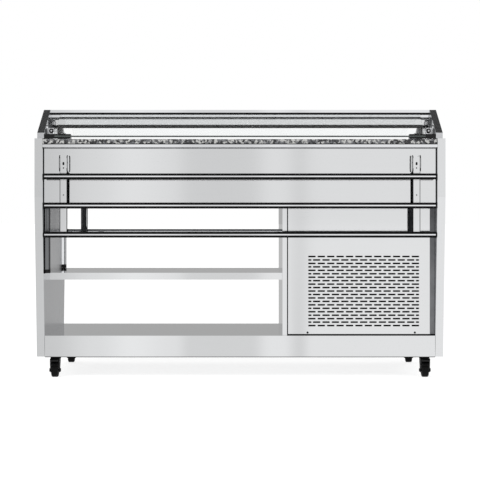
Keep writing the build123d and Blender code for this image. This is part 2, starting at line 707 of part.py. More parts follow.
def light_box():
    """Flat lamp housing between the sides, with a window below for its lens."""
    x, y = LIGHT_HALF_LENGTH, LIGHT_DEPTH / 2
    z = (LIGHT_BOTTOM, LIGHT_BOTTOM + LIGHT_HEIGHT)
    box = span((-x, x), (-y, y), z)
    box -= span((SHEET - x, x - SHEET), (SHEET - y, y - SHEET), (z[0] + SHEET, z[1] - SHEET))
    window_x, window_y = LENS_LENGTH / 2, LENS_WIDTH / 2
    box -= span((-window_x, window_x), (-window_y, window_y), (z[0], z[0] + SHEET))
    hanger = span((x, SIDE_INNER), (-y / 2, y / 2), (z[0] + 2 * SHEET, z[1] - 2 * SHEET))
    for end in left_right(hanger):
        box += end
    return box


def light_lens():
    """Clear strip that drops into the window and rests on the housing's floor by its rim."""
    x, y = LENS_LENGTH / 2 - SEAT, LENS_WIDTH / 2 - SEAT
    lens = span((-x, x), (-y, y), (LIGHT_BOTTOM - SEAT, LIGHT_BOTTOM + SHEET))
    low = LIGHT_BOTTOM + SHEET
    rim_x, rim_y = x + LENS_RIM, y + LENS_RIM
    return lens + span((-rim_x, rim_x), (-rim_y, rim_y), (low, low + 2 * SHEET))


# Tray slides, drawn at the front

def tray_tubes():
    reach = INNER_X - BAR_GAP
    tubes = []
    for z in BAR_HEIGHTS:
        ends = (-reach, -BAR_Y, z), (reach, -BAR_Y, z)
        tubes.append(rod(BAR_R, *ends) - rod(BAR_R - BAR_WALL, *ends))
    return tubes


def tray_caps():
    """Vented plugs in the open ends of the tubes."""
    reach = INNER_X - BAR_GAP
    plugs = []
    for z in BAR_HEIGHTS:
        ends = (reach - BAR_R, -BAR_Y, z), (reach, -BAR_Y, z)
        plug = rod(BAR_R - BAR_WALL, *ends) - rod(BAR_WALL, *ends)
        plugs += left_right(plug)
    return plugs


def tray_arm():
    """Channel-section arm behind the tubes, right-hand side, hung from its pivot pin."""
    x = (ARM_X - ARM_WIDTH / 2, ARM_X + ARM_WIDTH / 2)
    z = (BAR_HEIGHTS[-1] - ARM_FOOT, PIVOT_Z + ARM_HEAD)
    arm = span(x, (-ARM_FRONT, -ARM_BACK), z)
    arm = fillet(arm.edges().filter_by(Axis.Y).group_by(Axis.Z)[-1], ARM_ROUND)
    arm -= span((x[0] + ARM_WALL, x[1] - ARM_WALL), (ARM_WALL - ARM_FRONT, -ARM_BACK), z)
    arm -= rod(PIVOT_R + PIVOT_CLEAR, (x[0], -PIVOT_Y, PIVOT_Z), (x[1], -PIVOT_Y, PIVOT_Z))
    slot = Rot(0, 0, 90) * SlotOverall(ARM_SLOT_LENGTH, ARM_SLOT_WIDTH)
    holes = [Pos(ARM_X, PIVOT_Z - ARM_SLOT_DROP) * slot]
    holes += [Pos(ARM_X, PIVOT_Z - drop) * Circle(ARM_HOLE_R) for drop in (UPPER_HOLE_DROP, LOWER_HOLE_DROP)]
    inside = Plane.XZ.offset(ARM_FRONT - ARM_WALL)
    for hole in holes:
        arm -= extrude(inside * hole, ARM_WALL)
    for bar_z in BAR_HEIGHTS:
        arm -= rod(BAR_R, (x[0], -BAR_Y, bar_z), (x[1], -BAR_Y, bar_z))
    return arm


def tray_bracket():
    """Channel fixed to the apron, right-hand side at the front, with ears outside the arm."""
    inner = ARM_WIDTH / 2 + ARM_SLACK
    outer = inner + BRACKET_WALL
    x = (ARM_X - outer, ARM_X + outer)
    z = (BRACKET_FOOT, BRACKET_TOP)
    bracket = span(x, (-APRON_Y - BRACKET_REACH, -APRON_Y), z)
    bracket = fillet(bracket.edges().filter_by(Axis.X).group_by(Axis.Y)[0], BRACKET_REACH / 3)
    bracket -= span((ARM_X - inner, ARM_X + inner), (-APRON_Y - BRACKET_REACH, -APRON_Y - BRACKET_WALL), z)
    return bracket - tray_pin()


def tray_pin():
    reach = ARM_WIDTH / 2 + ARM_SLACK + 2 * BRACKET_WALL
    return rod(PIVOT_R, (ARM_X - reach, -PIVOT_Y, PIVOT_Z), (ARM_X + reach, -PIVOT_Y, PIVOT_Z))


# Casters, drawn at the front right corner with the wheel trailing forwards

def caster_plate():
    """Top plate, bearing race and king pin."""
    half = CASTER_PLATE / 2
    plate = span((-half, half), (-half, half), (PLATE_BOTTOM, BASE_BOTTOM))
    plate = fillet(plate.edges().filter_by(Axis.Z), half / 6)
    for place in GridLocations(CASTER_BOLT_SPAN, CASTER_BOLT_SPAN, 2, 2):
        plate -= place * rod(CASTER_BOLT_R, (0, 0, PLATE_BOTTOM), (0, 0, BASE_BOTTOM))
    head_top = CROWN_BOTTOM - FACE_CLEAR
    plate += rod(RACE_R, (0, 0, RACE_BOTTOM), (0, 0, PLATE_BOTTOM))
    plate += rod(KING_PIN_R, (0, 0, head_top), (0, 0, RACE_BOTTOM))
    plate += rod(KING_HEAD_R, (0, 0, head_top - KING_HEAD_HEIGHT), (0, 0, head_top))
    return Pos(CASTER_X, -CASTER_Y, 0) * plate


def caster_fork():
    """Crown and two legs that swivel under the race."""
    outer = LEG_OUTER
    back = RACE_R - CROWN_INSET
    crown = span((-outer, outer), (-CASTER_TRAIL - LEG_GAP, back), (CROWN_BOTTOM, CROWN_TOP))
    crown = fillet(crown.edges().filter_by(Axis.Z).group_by(Axis.Y)[-1], outer / 2)
    tip = AXLE_R + LEG_MARGIN
    leg = [(-CASTER_TRAIL - tip, WHEEL_R), (-PEDAL_PIN_Y - PEDAL_HUB_R, CROWN_BOTTOM)]
    leg += [(-PEDAL_PIN_Y - PEDAL_HUB_R, CROWN_TOP), (back - outer / 2, CROWN_TOP)]
    leg += [(back - outer / 2, CROWN_BOTTOM), (-CASTER_TRAIL + tip, WHEEL_R)]
    fork = crown
    for x in ((LEG_INNER, outer), (-outer, -LEG_INNER)):
        fork += prism_x(leg, x)
        fork += rod(tip, (x[0], -CASTER_TRAIL, WHEEL_R), (x[1], -CASTER_TRAIL, WHEEL_R))
        fork -= rod(AXLE_R, (x[0], -CASTER_TRAIL, WHEEL_R), (x[1], -CASTER_TRAIL, WHEEL_R))
    fork -= rod(KING_PIN_R + RUN_CLEAR, (0, 0, CROWN_BOTTOM), (0, 0, CROWN_TOP))
    pin = (-outer, -PEDAL_PIN_Y, PEDAL_Z), (outer, -PEDAL_PIN_Y, PEDAL_Z)
    return Pos(CASTER_X, -CASTER_Y, 0) * (fork + rod(PEDAL_PIN_R, *pin))


def caster_axle():
    axle = rod(AXLE_R, (-LEG_OUTER, -CASTER_TRAIL, WHEEL_R), (LEG_OUTER, -CASTER_TRAIL, WHEEL_R))
    for side in (-1, 1):
        start, end = side * LEG_OUTER, side * (LEG_OUTER + AXLE_HEAD_HEIGHT)
        axle += rod(AXLE_HEAD_R, (start, -CASTER_TRAIL, WHEEL_R), (end, -CASTER_TRAIL, WHEEL_R))
    return Pos(CASTER_X, -CASTER_Y, 0) * axle


def caster_wheel():
    """Hub and tyre of one wheel, as two solids."""
    half = WHEEL_WIDTH / 2
    ends = (-half, -CASTER_TRAIL, WHEEL_R), (half, -CASTER_TRAIL, WHEEL_R)
    rim_r = WHEEL_R - TYRE_THICK
    tyre = rod(WHEEL_R, *ends)
    tyre = fillet(tyre.edges().filter_by(GeomType.CIRCLE), TYRE_THICK / 2) - rod(rim_r, *ends)
    hub = rod(rim_r, *ends) - rod(AXLE_R + RUN_CLEAR, *ends)
    for side in (-1, 1):
        floor = side * (half - HUB_RECESS)
        ring = (side * half, -CASTER_TRAIL, WHEEL_R), (floor, -CASTER_TRAIL, WHEEL_R)
        hub -= rod(rim_r - RIM_WALL, *ring) - rod(AXLE_R + HUB_WALL, *ring)
    place = Pos(CASTER_X, -CASTER_Y, 0)
    return [place * tyre, place * hub]


def brake_pedal():
    """Pedal on a pin between the fork's legs."""
    half = PEDAL_WIDTH / 2
    hub = (-half, -PEDAL_PIN_Y, PEDAL_Z), (half, -PEDAL_PIN_Y, PEDAL_Z)
    tip = -PEDAL_PIN_Y - PEDAL_REACH
    plate = [(-PEDAL_PIN_Y, PEDAL_Z + PEDAL_HUB_R), (tip, PEDAL_Z + PEDAL_HUB_R / 2)]
    plate += [(tip, PEDAL_Z - PEDAL_HUB_R / 2), (-PEDAL_PIN_Y, PEDAL_Z - PEDAL_HUB_R / 2)]
    pedal = prism_x(plate, (-half, half)) + rod(PEDAL_HUB_R, *hub)
    pedal -= rod(PEDAL_PIN_R + RUN_CLEAR, *hub)
    return Pos(CASTER_X, -CASTER_Y, 0) * pedal


# Condensing unit in the machine bay

def unit_base():
    return span(UNIT_X, (-UNIT_HALF_DEPTH, UNIT_HALF_DEPTH), (BASE_TOP, UNIT_TOP))


def condenser():
    """Finned block behind the front slots."""
    block = span(CONDENSER_X, (-CONDENSER_FRONT, -SHROUD_Y), (UNIT_TOP, UNIT_TOP + CONDENSER_HEIGHT))
    count = int((CONDENSER_X[1] - CONDENSER_X[0]) / FIN_PITCH)
    y = (-CONDENSER_FRONT, FIN_CUT - CONDENSER_FRONT)
    z = (UNIT_TOP + FIN_PITCH, UNIT_TOP + CONDENSER_HEIGHT - FIN_PITCH)
    cuts = []
    for i in range(1, count):
        x = CONDENSER_X[0] + i * FIN_PITCH
        cuts.append(span((x - FIN_GAP / 2, x + FIN_GAP / 2), y, z))
    return block - cuts


def fan_shroud():
    """Box on the back of the condenser with a round mouth for the fan."""
    x, z = CONDENSER_X, (UNIT_TOP, UNIT_TOP + CONDENSER_HEIGHT)
    back = SHROUD_DEPTH - SHROUD_Y
    box = span(x, (-SHROUD_Y, back), z)
    inside = span((x[0] + SHEET, x[1] - SHEET), (-SHROUD_Y, back - SHEET), (z[0] + SHEET, z[1] - SHEET))
    mouth = rod(FAN_R + FAN_CLEAR, (FAN_X, -SHROUD_Y, FAN_Z), (FAN_X, back, FAN_Z))
    return box - inside - mouth


def fan_motor():
    """Motor on a post from the unit base, its shaft reaching into the fan hub."""
    start = -SHROUD_Y + SHROUD_DEPTH + FAN_CLEAR
    motor = rod(MOTOR_R, (FAN_X, start, FAN_Z), (FAN_X, start + MOTOR_LENGTH, FAN_Z))
    motor = fillet(motor.edges().filter_by(GeomType.CIRCLE), MOTOR_R / 5)
    motor += rod(MOTOR_SHAFT_R, (FAN_X, -FAN_Y - FAN_HUB_LENGTH / 2, FAN_Z), (FAN_X, start, FAN_Z))
    post = MOTOR_R / 3
    y = (start + MOTOR_LENGTH / 2 - post, start + MOTOR_LENGTH / 2 + post)
    return motor + span((FAN_X - post, FAN_X + post), y, (UNIT_TOP, FAN_Z - MOTOR_R / 2))


def fan_blades():
    ends = (0, -FAN_HUB_LENGTH / 2, 0), (0, FAN_HUB_LENGTH / 2, 0)
    fan = rod(FAN_HUB_R, *ends)
    length = FAN_R - FAN_HUB_R / 2
    blade = Box(length, FAN_BLADE_THICK, FAN_BLADE_WIDTH)
    blade = fillet(blade.edges().filter_by(Axis.Y), FAN_BLADE_WIDTH / 4)
    blade = Pos(FAN_HUB_R / 2 + length / 2, 0, 0) * Rot(FAN_PITCH_ANGLE, 0, 0) * blade
    for i in range(FAN_BLADES):
        fan += Rot(0, i * 360 / FAN_BLADES, 0) * blade
    fan -= rod(MOTOR_SHAFT_R + RUN_CLEAR, *ends)
    return Pos(FAN_X, -FAN_Y, FAN_Z) * fan


def compressor():
    """Hermetic can on a foot plate with four rubber-height stubs."""
    foot = COMPRESSOR_FOOT / 2
    stub = COMPRESSOR_FOOT_THICK
    low = UNIT_TOP + stub
    can = rod(COMPRESSOR_R, (0, 0, low), (0, 0, low + COMPRESSOR_HEIGHT))
    can = fillet(can.edges().filter_by(GeomType.CIRCLE), COMPRESSOR_ROUND)
    plate = span((-foot, foot), (-foot / 2, foot / 2), (low, low + stub))
    for place in GridLocations(COMPRESSOR_FOOT - 4 * stub, foot - 2 * stub, 2, 2):
        plate += place * rod(stub, (0, 0, UNIT_TOP), (0, 0, low))
    return Pos(COMPRESSOR_X, COMPRESSOR_Y, 0) * (can + plate)


def tube_line(*points):
    path = FilletPolyline(*points, radius=LINE_BEND)
    return sweep(Plane(origin=path @ 0, z_dir=path % 0) * Circle(LINE_R), path=path)


def refrigerant_lines():
    """Discharge line to the condenser and suction line up to the tank, with a drier on the wall side."""
    top = UNIT_TOP + COMPRESSOR_FOOT_THICK + COMPRESSOR_HEIGHT
    high = top + 3 * LINE_BEND
    end_x = CONDENSER_X[1] + 2 * LINE_BEND
    fin_y = -(CONDENSER_FRONT + SHROUD_Y) / 2
    side = COMPRESSOR_X + COMPRESSOR_R / 3
    entry = (CONDENSER_X[1], fin_y, FAN_Z)
    discharge = tube_line((side, COMPRESSOR_Y, top), (side, COMPRESSOR_Y, high), (end_x, COMPRESSOR_Y, high),
                          (end_x, fin_y, high), (end_x, fin_y, FAN_Z), entry)
    back = COMPRESSOR_X - COMPRESSOR_R / 3
    suction = rod(LINE_R, (back, COMPRESSOR_Y, top), (back, COMPRESSOR_Y, TANK_BOTTOM))
    drier_r = 3 * LINE_R
    drier = rod(drier_r, (end_x, fin_y, FAN_Z + 3 * LINE_BEND), (end_x, fin_y, high - 2 * LINE_BEND))
    return [discharge + drier, suction]


def drain_pipe():
    """Pipe from the well floor through the foam to a valve body in the machine bay."""
    top = WELL_FLOOR - SHEET
    low = VALVE_TOP - VALVE_HEIGHT
    pipe = rod(DRAIN_R, (DRAIN_X, 0, low - DRAIN_R), (DRAIN_X, 0, top))
    pipe += rod(VALVE_R, (DRAIN_X, 0, low), (DRAIN_X, 0, VALVE_TOP))
    pipe -= rod(DRAIN_R - DRAIN_WALL, (DRAIN_X, 0, low - DRAIN_R), (DRAIN_X, 0, top))
    stem_z = VALVE_TOP - VALVE_HEIGHT / 2
    return pipe + rod(STEM_R, (DRAIN_X, -DRAIN_R, stem_z), (DRAIN_X, -VALVE_R - STEM_REACH, stem_z))


def drain_lever():
    """Quarter-turn lever on the valve stem, drawn in line with the pipe."""
    stem_z = VALVE_TOP - VALVE_HEIGHT / 2
    half = LEVER_WIDTH / 2
    y = -VALVE_R - STEM_REACH
    z = (stem_z - LEVER_LENGTH, stem_z + half)
    plate = span((DRAIN_X - half, DRAIN_X + half), (y, y + LEVER_THICK), z)
    plate = fillet(plate.edges().filter_by(Axis.Y), half * 0.95)
    return plate - rod(STEM_R + RUN_CLEAR, (DRAIN_X, y, stem_z), (DRAIN_X, y + LEVER_THICK, stem_z))


# Controls on the back service panel

def switch_opening():
    half_x, half_z = SWITCH_WIDTH / 2 + SWITCH_CLEAR, SWITCH_HEIGHT / 2 + SWITCH_CLEAR
    return span((SWITCH_X - half_x, SWITCH_X + half_x), (BACK_FACE - CONTROL_DEPTH / 4, BACK_FACE),
                (CONTROL_MID_Z - half_z, CONTROL_MID_Z + half_z))


def control_box():
    """Housing behind the back panel that carries the switch pin and the thermostat's shaft bush."""
    front = BACK_FACE - SHEET
    box = span(CONTROL_X, (front - CONTROL_DEPTH, front), CONTROL_Z)
    wall = CONTROL_WALL
    box -= span((CONTROL_X[0] + wall, CONTROL_X[1] - wall), (front - CONTROL_DEPTH + wall, front),
                (CONTROL_Z[0] + wall, CONTROL_Z[1] - wall))
    pin_y = BACK_FACE - SWITCH_ROUND / 2
    reach = SWITCH_WIDTH / 2 + 3 * wall
    mid = CONTROL_MID_Z
    for side in (-1, 1):
        x = sorted((SWITCH_X + side * (SWITCH_WIDTH / 2 + wall), SWITCH_X + side * reach))
        box += span(x, (front - CONTROL_DEPTH, front), (mid - 3 * wall, mid + 3 * wall))
    box += rod(SWITCH_PIVOT_R, (SWITCH_X - reach, pin_y, mid), (SWITCH_X + reach, pin_y, mid))
    box += rod(2 * DIAL_SHAFT_R, (DIAL_X, front - CONTROL_DEPTH, mid), (DIAL_X, front, mid))
    bore = rod(DIAL_SHAFT_R + RUN_CLEAR, (DIAL_X, front - CONTROL_DEPTH / 2, mid), (DIAL_X, front, mid))
    return box - bore


def power_switch():
    """Rocker on the box's pin; its back is a drum about the pin."""
    half = SWITCH_WIDTH / 2
    pin_y = BACK_FACE - SWITCH_ROUND / 2
    cap = SWITCH_HEIGHT / 2
    low, high = CONTROL_MID_Z - cap, CONTROL_MID_Z + cap
    proud = BACK_FACE + SWITCH_RISE
    rocker = [(pin_y, low), (proud, low), (proud - SWITCH_DIP, CONTROL_MID_Z), (proud, high), (pin_y, high)]
    body = prism_x(rocker, (SWITCH_X - half, SWITCH_X + half))
    ends = (SWITCH_X - half, pin_y, CONTROL_MID_Z), (SWITCH_X + half, pin_y, CONTROL_MID_Z)
    return body + rod(2 * SWITCH_PIVOT_R, *ends) - rod(SWITCH_PIVOT_R + RUN_CLEAR, *ends)


def thermostat_knob():
    mid = CONTROL_MID_Z
    knob = rod(DIAL_R, (DIAL_X, DIAL_SEAT, mid), (DIAL_X, DIAL_SEAT + DIAL_DEPTH, mid))
    knob = fillet(knob.edges().group_by(Axis.Y)[-1], DIAL_R / 8)
    grip, reach = DIAL_R / 5, 0.8 * DIAL_R
    ridge = (DIAL_SEAT + DIAL_DEPTH / 2, DIAL_SEAT + 1.4 * DIAL_DEPTH)
    knob += span((DIAL_X - grip, DIAL_X + grip), ridge, (mid - reach, mid + reach))
    return knob + rod(DIAL_SHAFT_R, (DIAL_X, DIAL_SEAT - CONTROL_DEPTH / 3, mid), (DIAL_X, DIAL_SEAT, mid))


def power_inlet():
    """Recessed three-pin inlet in the back panel."""
    half_x, half_z = INLET_WIDTH / 2, INLET_HEIGHT / 2
    x, z = (INLET_X - half_x, INLET_X + half_x), (INLET_Z - half_z, INLET_Z + half_z)
    body = span(x, (BACK_FACE - INLET_DEPTH, BACK_FACE), z)
    rim = 3 * INLET_WALL
    body += span((x[0] - rim, x[1] + rim), (BACK_FACE, BACK_FACE + INLET_WALL), (z[0] - rim, z[1] + rim))
    wall = INLET_WALL
    body -= span((x[0] + wall, x[1] - wall), (BACK_FACE - INLET_DEPTH + wall, BACK_FACE + wall),
                 (z[0] + wall, z[1] - wall))
    pins = Locations((-half_x / 2, -half_z / 3), (half_x / 2, -half_z / 3), (0, half_z / 3))
    for place in pins:
        pin_x, pin_z = INLET_X + place.position.X, INLET_Z + place.position.Y
        half = INLET_PIN / 2
        body += span((pin_x - half, pin_x + half), (BACK_FACE - INLET_DEPTH + wall, BACK_FACE - wall),
                     (pin_z - INLET_PIN, pin_z + INLET_PIN))
    return body


def back_service_panel():
    """The same panel at the back, cut for the switch, the thermostat's shaft and the inlet."""
    panel = mirror(service_panel(), about=Plane.XZ)
    panel -= switch_opening()
    face = (BACK_FACE - SHEET, BACK_FACE)
    bore = DIAL_SHAFT_R + DIAL_HOLE_CLEAR
    panel -= rod(bore, (DIAL_X, face[0], CONTROL_MID_Z), (DIAL_X, face[1], CONTROL_MID_Z))
    half_x, half_z = INLET_WIDTH / 2, INLET_HEIGHT / 2
    return panel - span((INLET_X - half_x, INLET_X + half_x), face, (INLET_Z - half_z, INLET_Z + half_z))


def save_cabinet():
    right, left = left_right(end_panel())
    save("right_end_panel", right)
    save("left_end_panel", left)
    right, left = left_right(side_liner())
    for cheek in front_back(bay_cheek()):
        right += cheek
    left += mirror(shelf_wall(), about=Plane.YZ)
    save("side_liners", right, left)
    save("base_pan", base_pan())
    save("mid_shelf", mid_shelf())
    save("compartment_divider", compartment_divider())
    save("front_service_panel", service_panel())
    save("rear_service_panel", back_service_panel())
    save("panel_screws", *[copy for screw in panel_screws() for copy in front_back(screw)])
    save("aprons", *front_back(apron()))
    save("tank_floor", tank_floor())
    save("insulation", insulation())
    save("well_liner", well_liner())
    save("counter_frame", *counter_frame())
    save("granite_counter", granite_counter())
    save("pan_bars", *pan_bars())
    save("evaporator_coil", evaporator_coil())
    save("guide_tubes", *at_corners(guide_tube()))
    save("guide_tube_feet", *at_corners(guide_tube_foot()))
    front = left_right(column_guide(True))
    back = [mirror(block, about=Plane.XZ) for block in left_right(column_guide(False))]
    save("column_guides", *front, *back)
    for side, knob in zip(("right", "left"), left_right(clamp_knob())):
        save(f"{side}_clamp_knob", knob)


def save_canopy():
    right, left = left_right(canopy_side())
    save("canopy_right_side", right)
    save("canopy_left_side", left)
    save("ridge_rails", *front_back(ridge_rail()))
    save("sloped_glass", *front_back(sloped_glass()))
    save("glass_clamps", *at_corners(glass_clamp()))
    save("top_glass", top_glass())
    save("light_box", light_box())
    save("light_lens", light_lens())
    save("lift_columns", *at_corners(lift_column()))


def save_trays():
    tubes = tray_tubes() + tray_caps()
    for index, name in enumerate(("front", "rear")):
        save(f"{name}_tray_tubes", *[front_back(tube)[index] for tube in tubes])
        save(f"{name}_tray_arms", *[front_back(arm)[index] for arm in left_right(tray_arm())])
    save("tray_brackets", *at_corners(tray_bracket()), *at_corners(tray_pin()))


def save_casters():
    corners = ("front_right", "rear_right", "front_left", "rear_left")
    save("caster_plates", *at_corners(caster_plate()))
    forks, axles = at_corners(caster_fork()), at_corners(caster_axle())
    tyres, hubs = [at_corners(piece) for piece in caster_wheel()]
    for corner, fork, axle, tyre, hub in zip(corners, forks, axles, tyres, hubs):
        save(f"{corner}_caster_fork", fork, axle)
        save(f"{corner}_caster_wheel", tyre, hub)
    for side, pedal in zip(("right", "left"), left_right(brake_pedal())):
        save(f"{side}_brake_pedal", pedal)


def save_machine():
    save("unit_base", unit_base())
    save("condenser", condenser())
    save("fan_shroud", fan_shroud())
    save("fan_motor", fan_motor())
    save("fan_blades", fan_blades())
    save("compressor", compressor())
    save("refrigerant_lines", *refrigerant_lines())
    save("drain_pipe", drain_pipe())
    save("drain_lever", drain_lever())
    save("control_box", control_box())
    save("power_switch", power_switch())
    save("thermostat_knob", thermostat_knob())
    save("power_inlet", power_inlet())


os.makedirs("parts", exist_ok=True)
save_cabinet()
save_canopy()
save_trays()
save_casters()
save_machine()
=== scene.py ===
"""Finishes and small parts of a refrigerated buffet table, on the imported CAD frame."""

import math

import bmesh
import bpy
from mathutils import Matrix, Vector


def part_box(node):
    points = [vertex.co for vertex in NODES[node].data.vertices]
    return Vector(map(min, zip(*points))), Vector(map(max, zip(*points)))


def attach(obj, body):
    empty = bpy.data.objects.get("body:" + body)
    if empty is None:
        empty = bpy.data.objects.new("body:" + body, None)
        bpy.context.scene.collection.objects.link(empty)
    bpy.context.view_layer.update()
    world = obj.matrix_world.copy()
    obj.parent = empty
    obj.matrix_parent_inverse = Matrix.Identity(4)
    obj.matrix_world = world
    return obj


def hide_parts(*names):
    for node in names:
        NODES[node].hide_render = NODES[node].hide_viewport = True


bl_info = {
    "name": "Refrigerated buffet table",
    "version": (1, 0, 0),
    "blender": (4, 5, 0),
    "location": "View3D > Sidebar > Buffet",
    "description": "Finishes, glass, caps, screws and stage of a refrigerated buffet table",
    "category": "Object",
}

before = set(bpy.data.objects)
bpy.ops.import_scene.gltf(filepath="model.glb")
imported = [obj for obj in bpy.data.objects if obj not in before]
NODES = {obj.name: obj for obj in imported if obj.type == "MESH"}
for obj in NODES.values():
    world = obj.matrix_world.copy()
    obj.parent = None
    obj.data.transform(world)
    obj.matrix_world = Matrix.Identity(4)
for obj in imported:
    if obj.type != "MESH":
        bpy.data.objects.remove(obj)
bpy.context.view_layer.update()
MM = 0.001
SIDES = (-1, 1)
CORNERS = ("front_left", "front_right", "rear_left", "rear_right")

# Sizes of the CAD model that no box of a node gives.
GLASS_SLOPE = math.atan2(97.6, 200)
GLASS_WALL = 6 * MM
ARM_HALF = 11.5 * MM
EAR_ROUND = 47 / 3 * MM


def linear(code):
    """Linear RGB of an sRGB hex colour."""
    values = [int(code[i:i + 2], 16) / 255 for i in (1, 3, 5)]
    return [v / 12.92 if v <= 0.04045 else ((v + 0.055) / 1.055) ** 2.4 for v in values]


def colour(name, text, code):
    return bpy.props.FloatVectorProperty(
        name=name, description=text, subtype="COLOR", size=3, min=0, max=1, default=linear(code))


def length(name, text, millimetres):
    return bpy.props.FloatProperty(
        name=name, description=text, subtype="DISTANCE", unit="LENGTH", min=0,
        default=millimetres * MM)


class BuffetSizes(bpy.types.PropertyGroup):
    """Sizes of the small parts that the scene adds."""

    cap_length: length("Cap length", "Length of the plastic cap on a tray tube", 5)
    cap_wall: length("Cap wall", "Thickness of the cap over the tube", 0.4)
    screw_radius: length("Screw radius", "Radius of a service panel screw head", 4)
    screw_height: length("Screw height", "Height of a service panel screw head", 2.4)
    recess_width: length("Recess width", "Width of the cross recess in a screw head", 1.1)
    glass_bevel: length("Glass bevel", "Polished bevel round a glass pane", 0.8)
    rib_pitch: length("Rib pitch", "Spacing of the ribs of the light lens", 4)
    inlay_radius: length("Inlay radius", "Radius of the bright disc in a clamp knob", 3.8)
    strainer_radius: length("Strainer radius", "Radius of the drain strainer", 24)
    strainer_wire: length("Strainer wire", "Thickness of the drain strainer's wire", 1)
    # The plate of painted shade under the light box.
    shade_wall: length("Shade wall", "Thickness of the dark plate under the light box", 1)
    shade_drop: length("Shade drop", "Distance of the dark plate below the light box", 2.4)
    shade_rim: length("Shade rim", "Height of the rim round the lens", 4)
    # Folds of the black sheets of painted shade behind the vent slots.
    pleat_pitch: length("Pleat pitch", "Spacing of the folds of a dust filter", 8)
    pleat_depth: length("Pleat depth", "Depth of the folds of a dust filter", 3)
    # Dark strips of painted shade and reflection on the tray arms and brackets.
    trim_width: length("Trim width", "Width of the rubber trims on tray arms and brackets", 2.4)
    hood_gap: length("Hood gap", "Running gap between a caster wheel and its hood", 1.3)
    hood_wall: length("Hood wall", "Thickness of a caster hood", 6.4)


class BuffetColours(bpy.types.PropertyGroup):
    """Colours of the finishes."""

    stainless: colour("Stainless", "Bright rolled stainless sheet", "#DADBDC")
    dull_steel: colour("Dull steel", "Stainless of the inner walls and the well", "#C4C5C7")
    bright_steel: colour("Bright steel", "Polished tube", "#E2E3E5")
    # Painted shade on the front guide tubes, which the end panels shade.
    guide_steel: colour("Guide steel", "Dark tube of the front column guides", "#707173")
    aluminium: colour("Aluminium", "Anodised rail", "#CACBCD")
    copper: colour("Copper", "Copper tube", "#C07A52")
    zinc: colour("Zinc", "Galvanised sheet of the condensing unit", "#A9ABAD")
    granite_pale: colour("Pale grain", "Pale grain of the granite", "#A3A3A1")
    granite_grey: colour("Grey grain", "Middle grain of the granite", "#5C5D60")
    granite_dark: colour("Dark grain", "Dark grain of the granite", "#1E1E20")
    glass_tint: colour("Glass tint", "Tint of clear float glass", "#FDFEFE")
    glass_edge: colour("Glass edge", "Edge of a pane, seen through its width", "#4E5352")
    black_plastic: colour("Black plastic", "Moulded black plastic and enamel", "#0F0F10")
    polycarbonate: colour("Polycarbonate", "Opal lens of the light", "#EDEDE8")
    pipe: colour("Pipe", "Drain pipe", "#DCDCD8")
    rubber: colour("Black rubber", "Seals, gaskets and tyres", "#0C0C0D")
    # Painted shade: grey of the dark sheets in the canopy's corners, the tray arms' channels and
    # under the light box.
    grey_rubber: colour("Grey rubber", "Linings of the canopy and the tray arms", "#5A5B5D")
    # Painted shade of the gap beside a service panel.
    pale_rubber: colour("Pale rubber", "Gasket beside a service panel", "#7A7B7D")
    # Painted shadow under the counter frame's lip, above the aprons.
    sealant: colour("Sealant", "Bead above the aprons", "#87888A")
    dark_paint: colour("Dark paint", "Caster forks and screws", "#0D0D0F")
    red_paint: colour("Red paint", "Lever of the drain valve", "#A52A20")
    foam: colour("Foam", "Insulation of the tank", "#E5D9B6")
    # Painted shade of the machine bay behind the vent slots.
    filter_foam: colour("Filter foam", "Dust filters", "#030303")


def sizes():
    return bpy.context.scene.buffet_sizes


def tint(name, factor=1):
    """A colour of the panel, dimmed by a factor."""
    return [value * factor for value in getattr(bpy.context.scene.buffet_colours, name)] + [1]


# Materials

def add(tree, kind, inputs=None, stops=(), **settings):
    """Adds a node with its settings, its links and a ramp's stops (place, colour).

    An input is a value, the socket that feeds it, or a node whose first output does.
    """
    node = tree.nodes.new(kind)
    for key, value in settings.items():
        setattr(node, key, value)
    for key, value in (inputs or {}).items():
        if isinstance(value, bpy.types.Node):
            value = value.outputs[0]
        if isinstance(value, bpy.types.NodeSocket):
            tree.links.new(value, node.inputs[key])
        else:
            node.inputs[key].default_value = value
    for i, (place, value) in enumerate(stops):
        elements = node.color_ramp.elements
        element = elements[i] if i < 2 else elements.new(place)
        element.position, element.color = place, value
    return node


def begin(name):
    """An empty material, its tree, and the Object coordinates that its patterns are drawn on."""
    material = bpy.data.materials.new(name)
    material.use_nodes = True
    tree = material.node_tree
    tree.nodes.clear()
    return material, tree, add(tree, "ShaderNodeTexCoord").outputs["Object"]


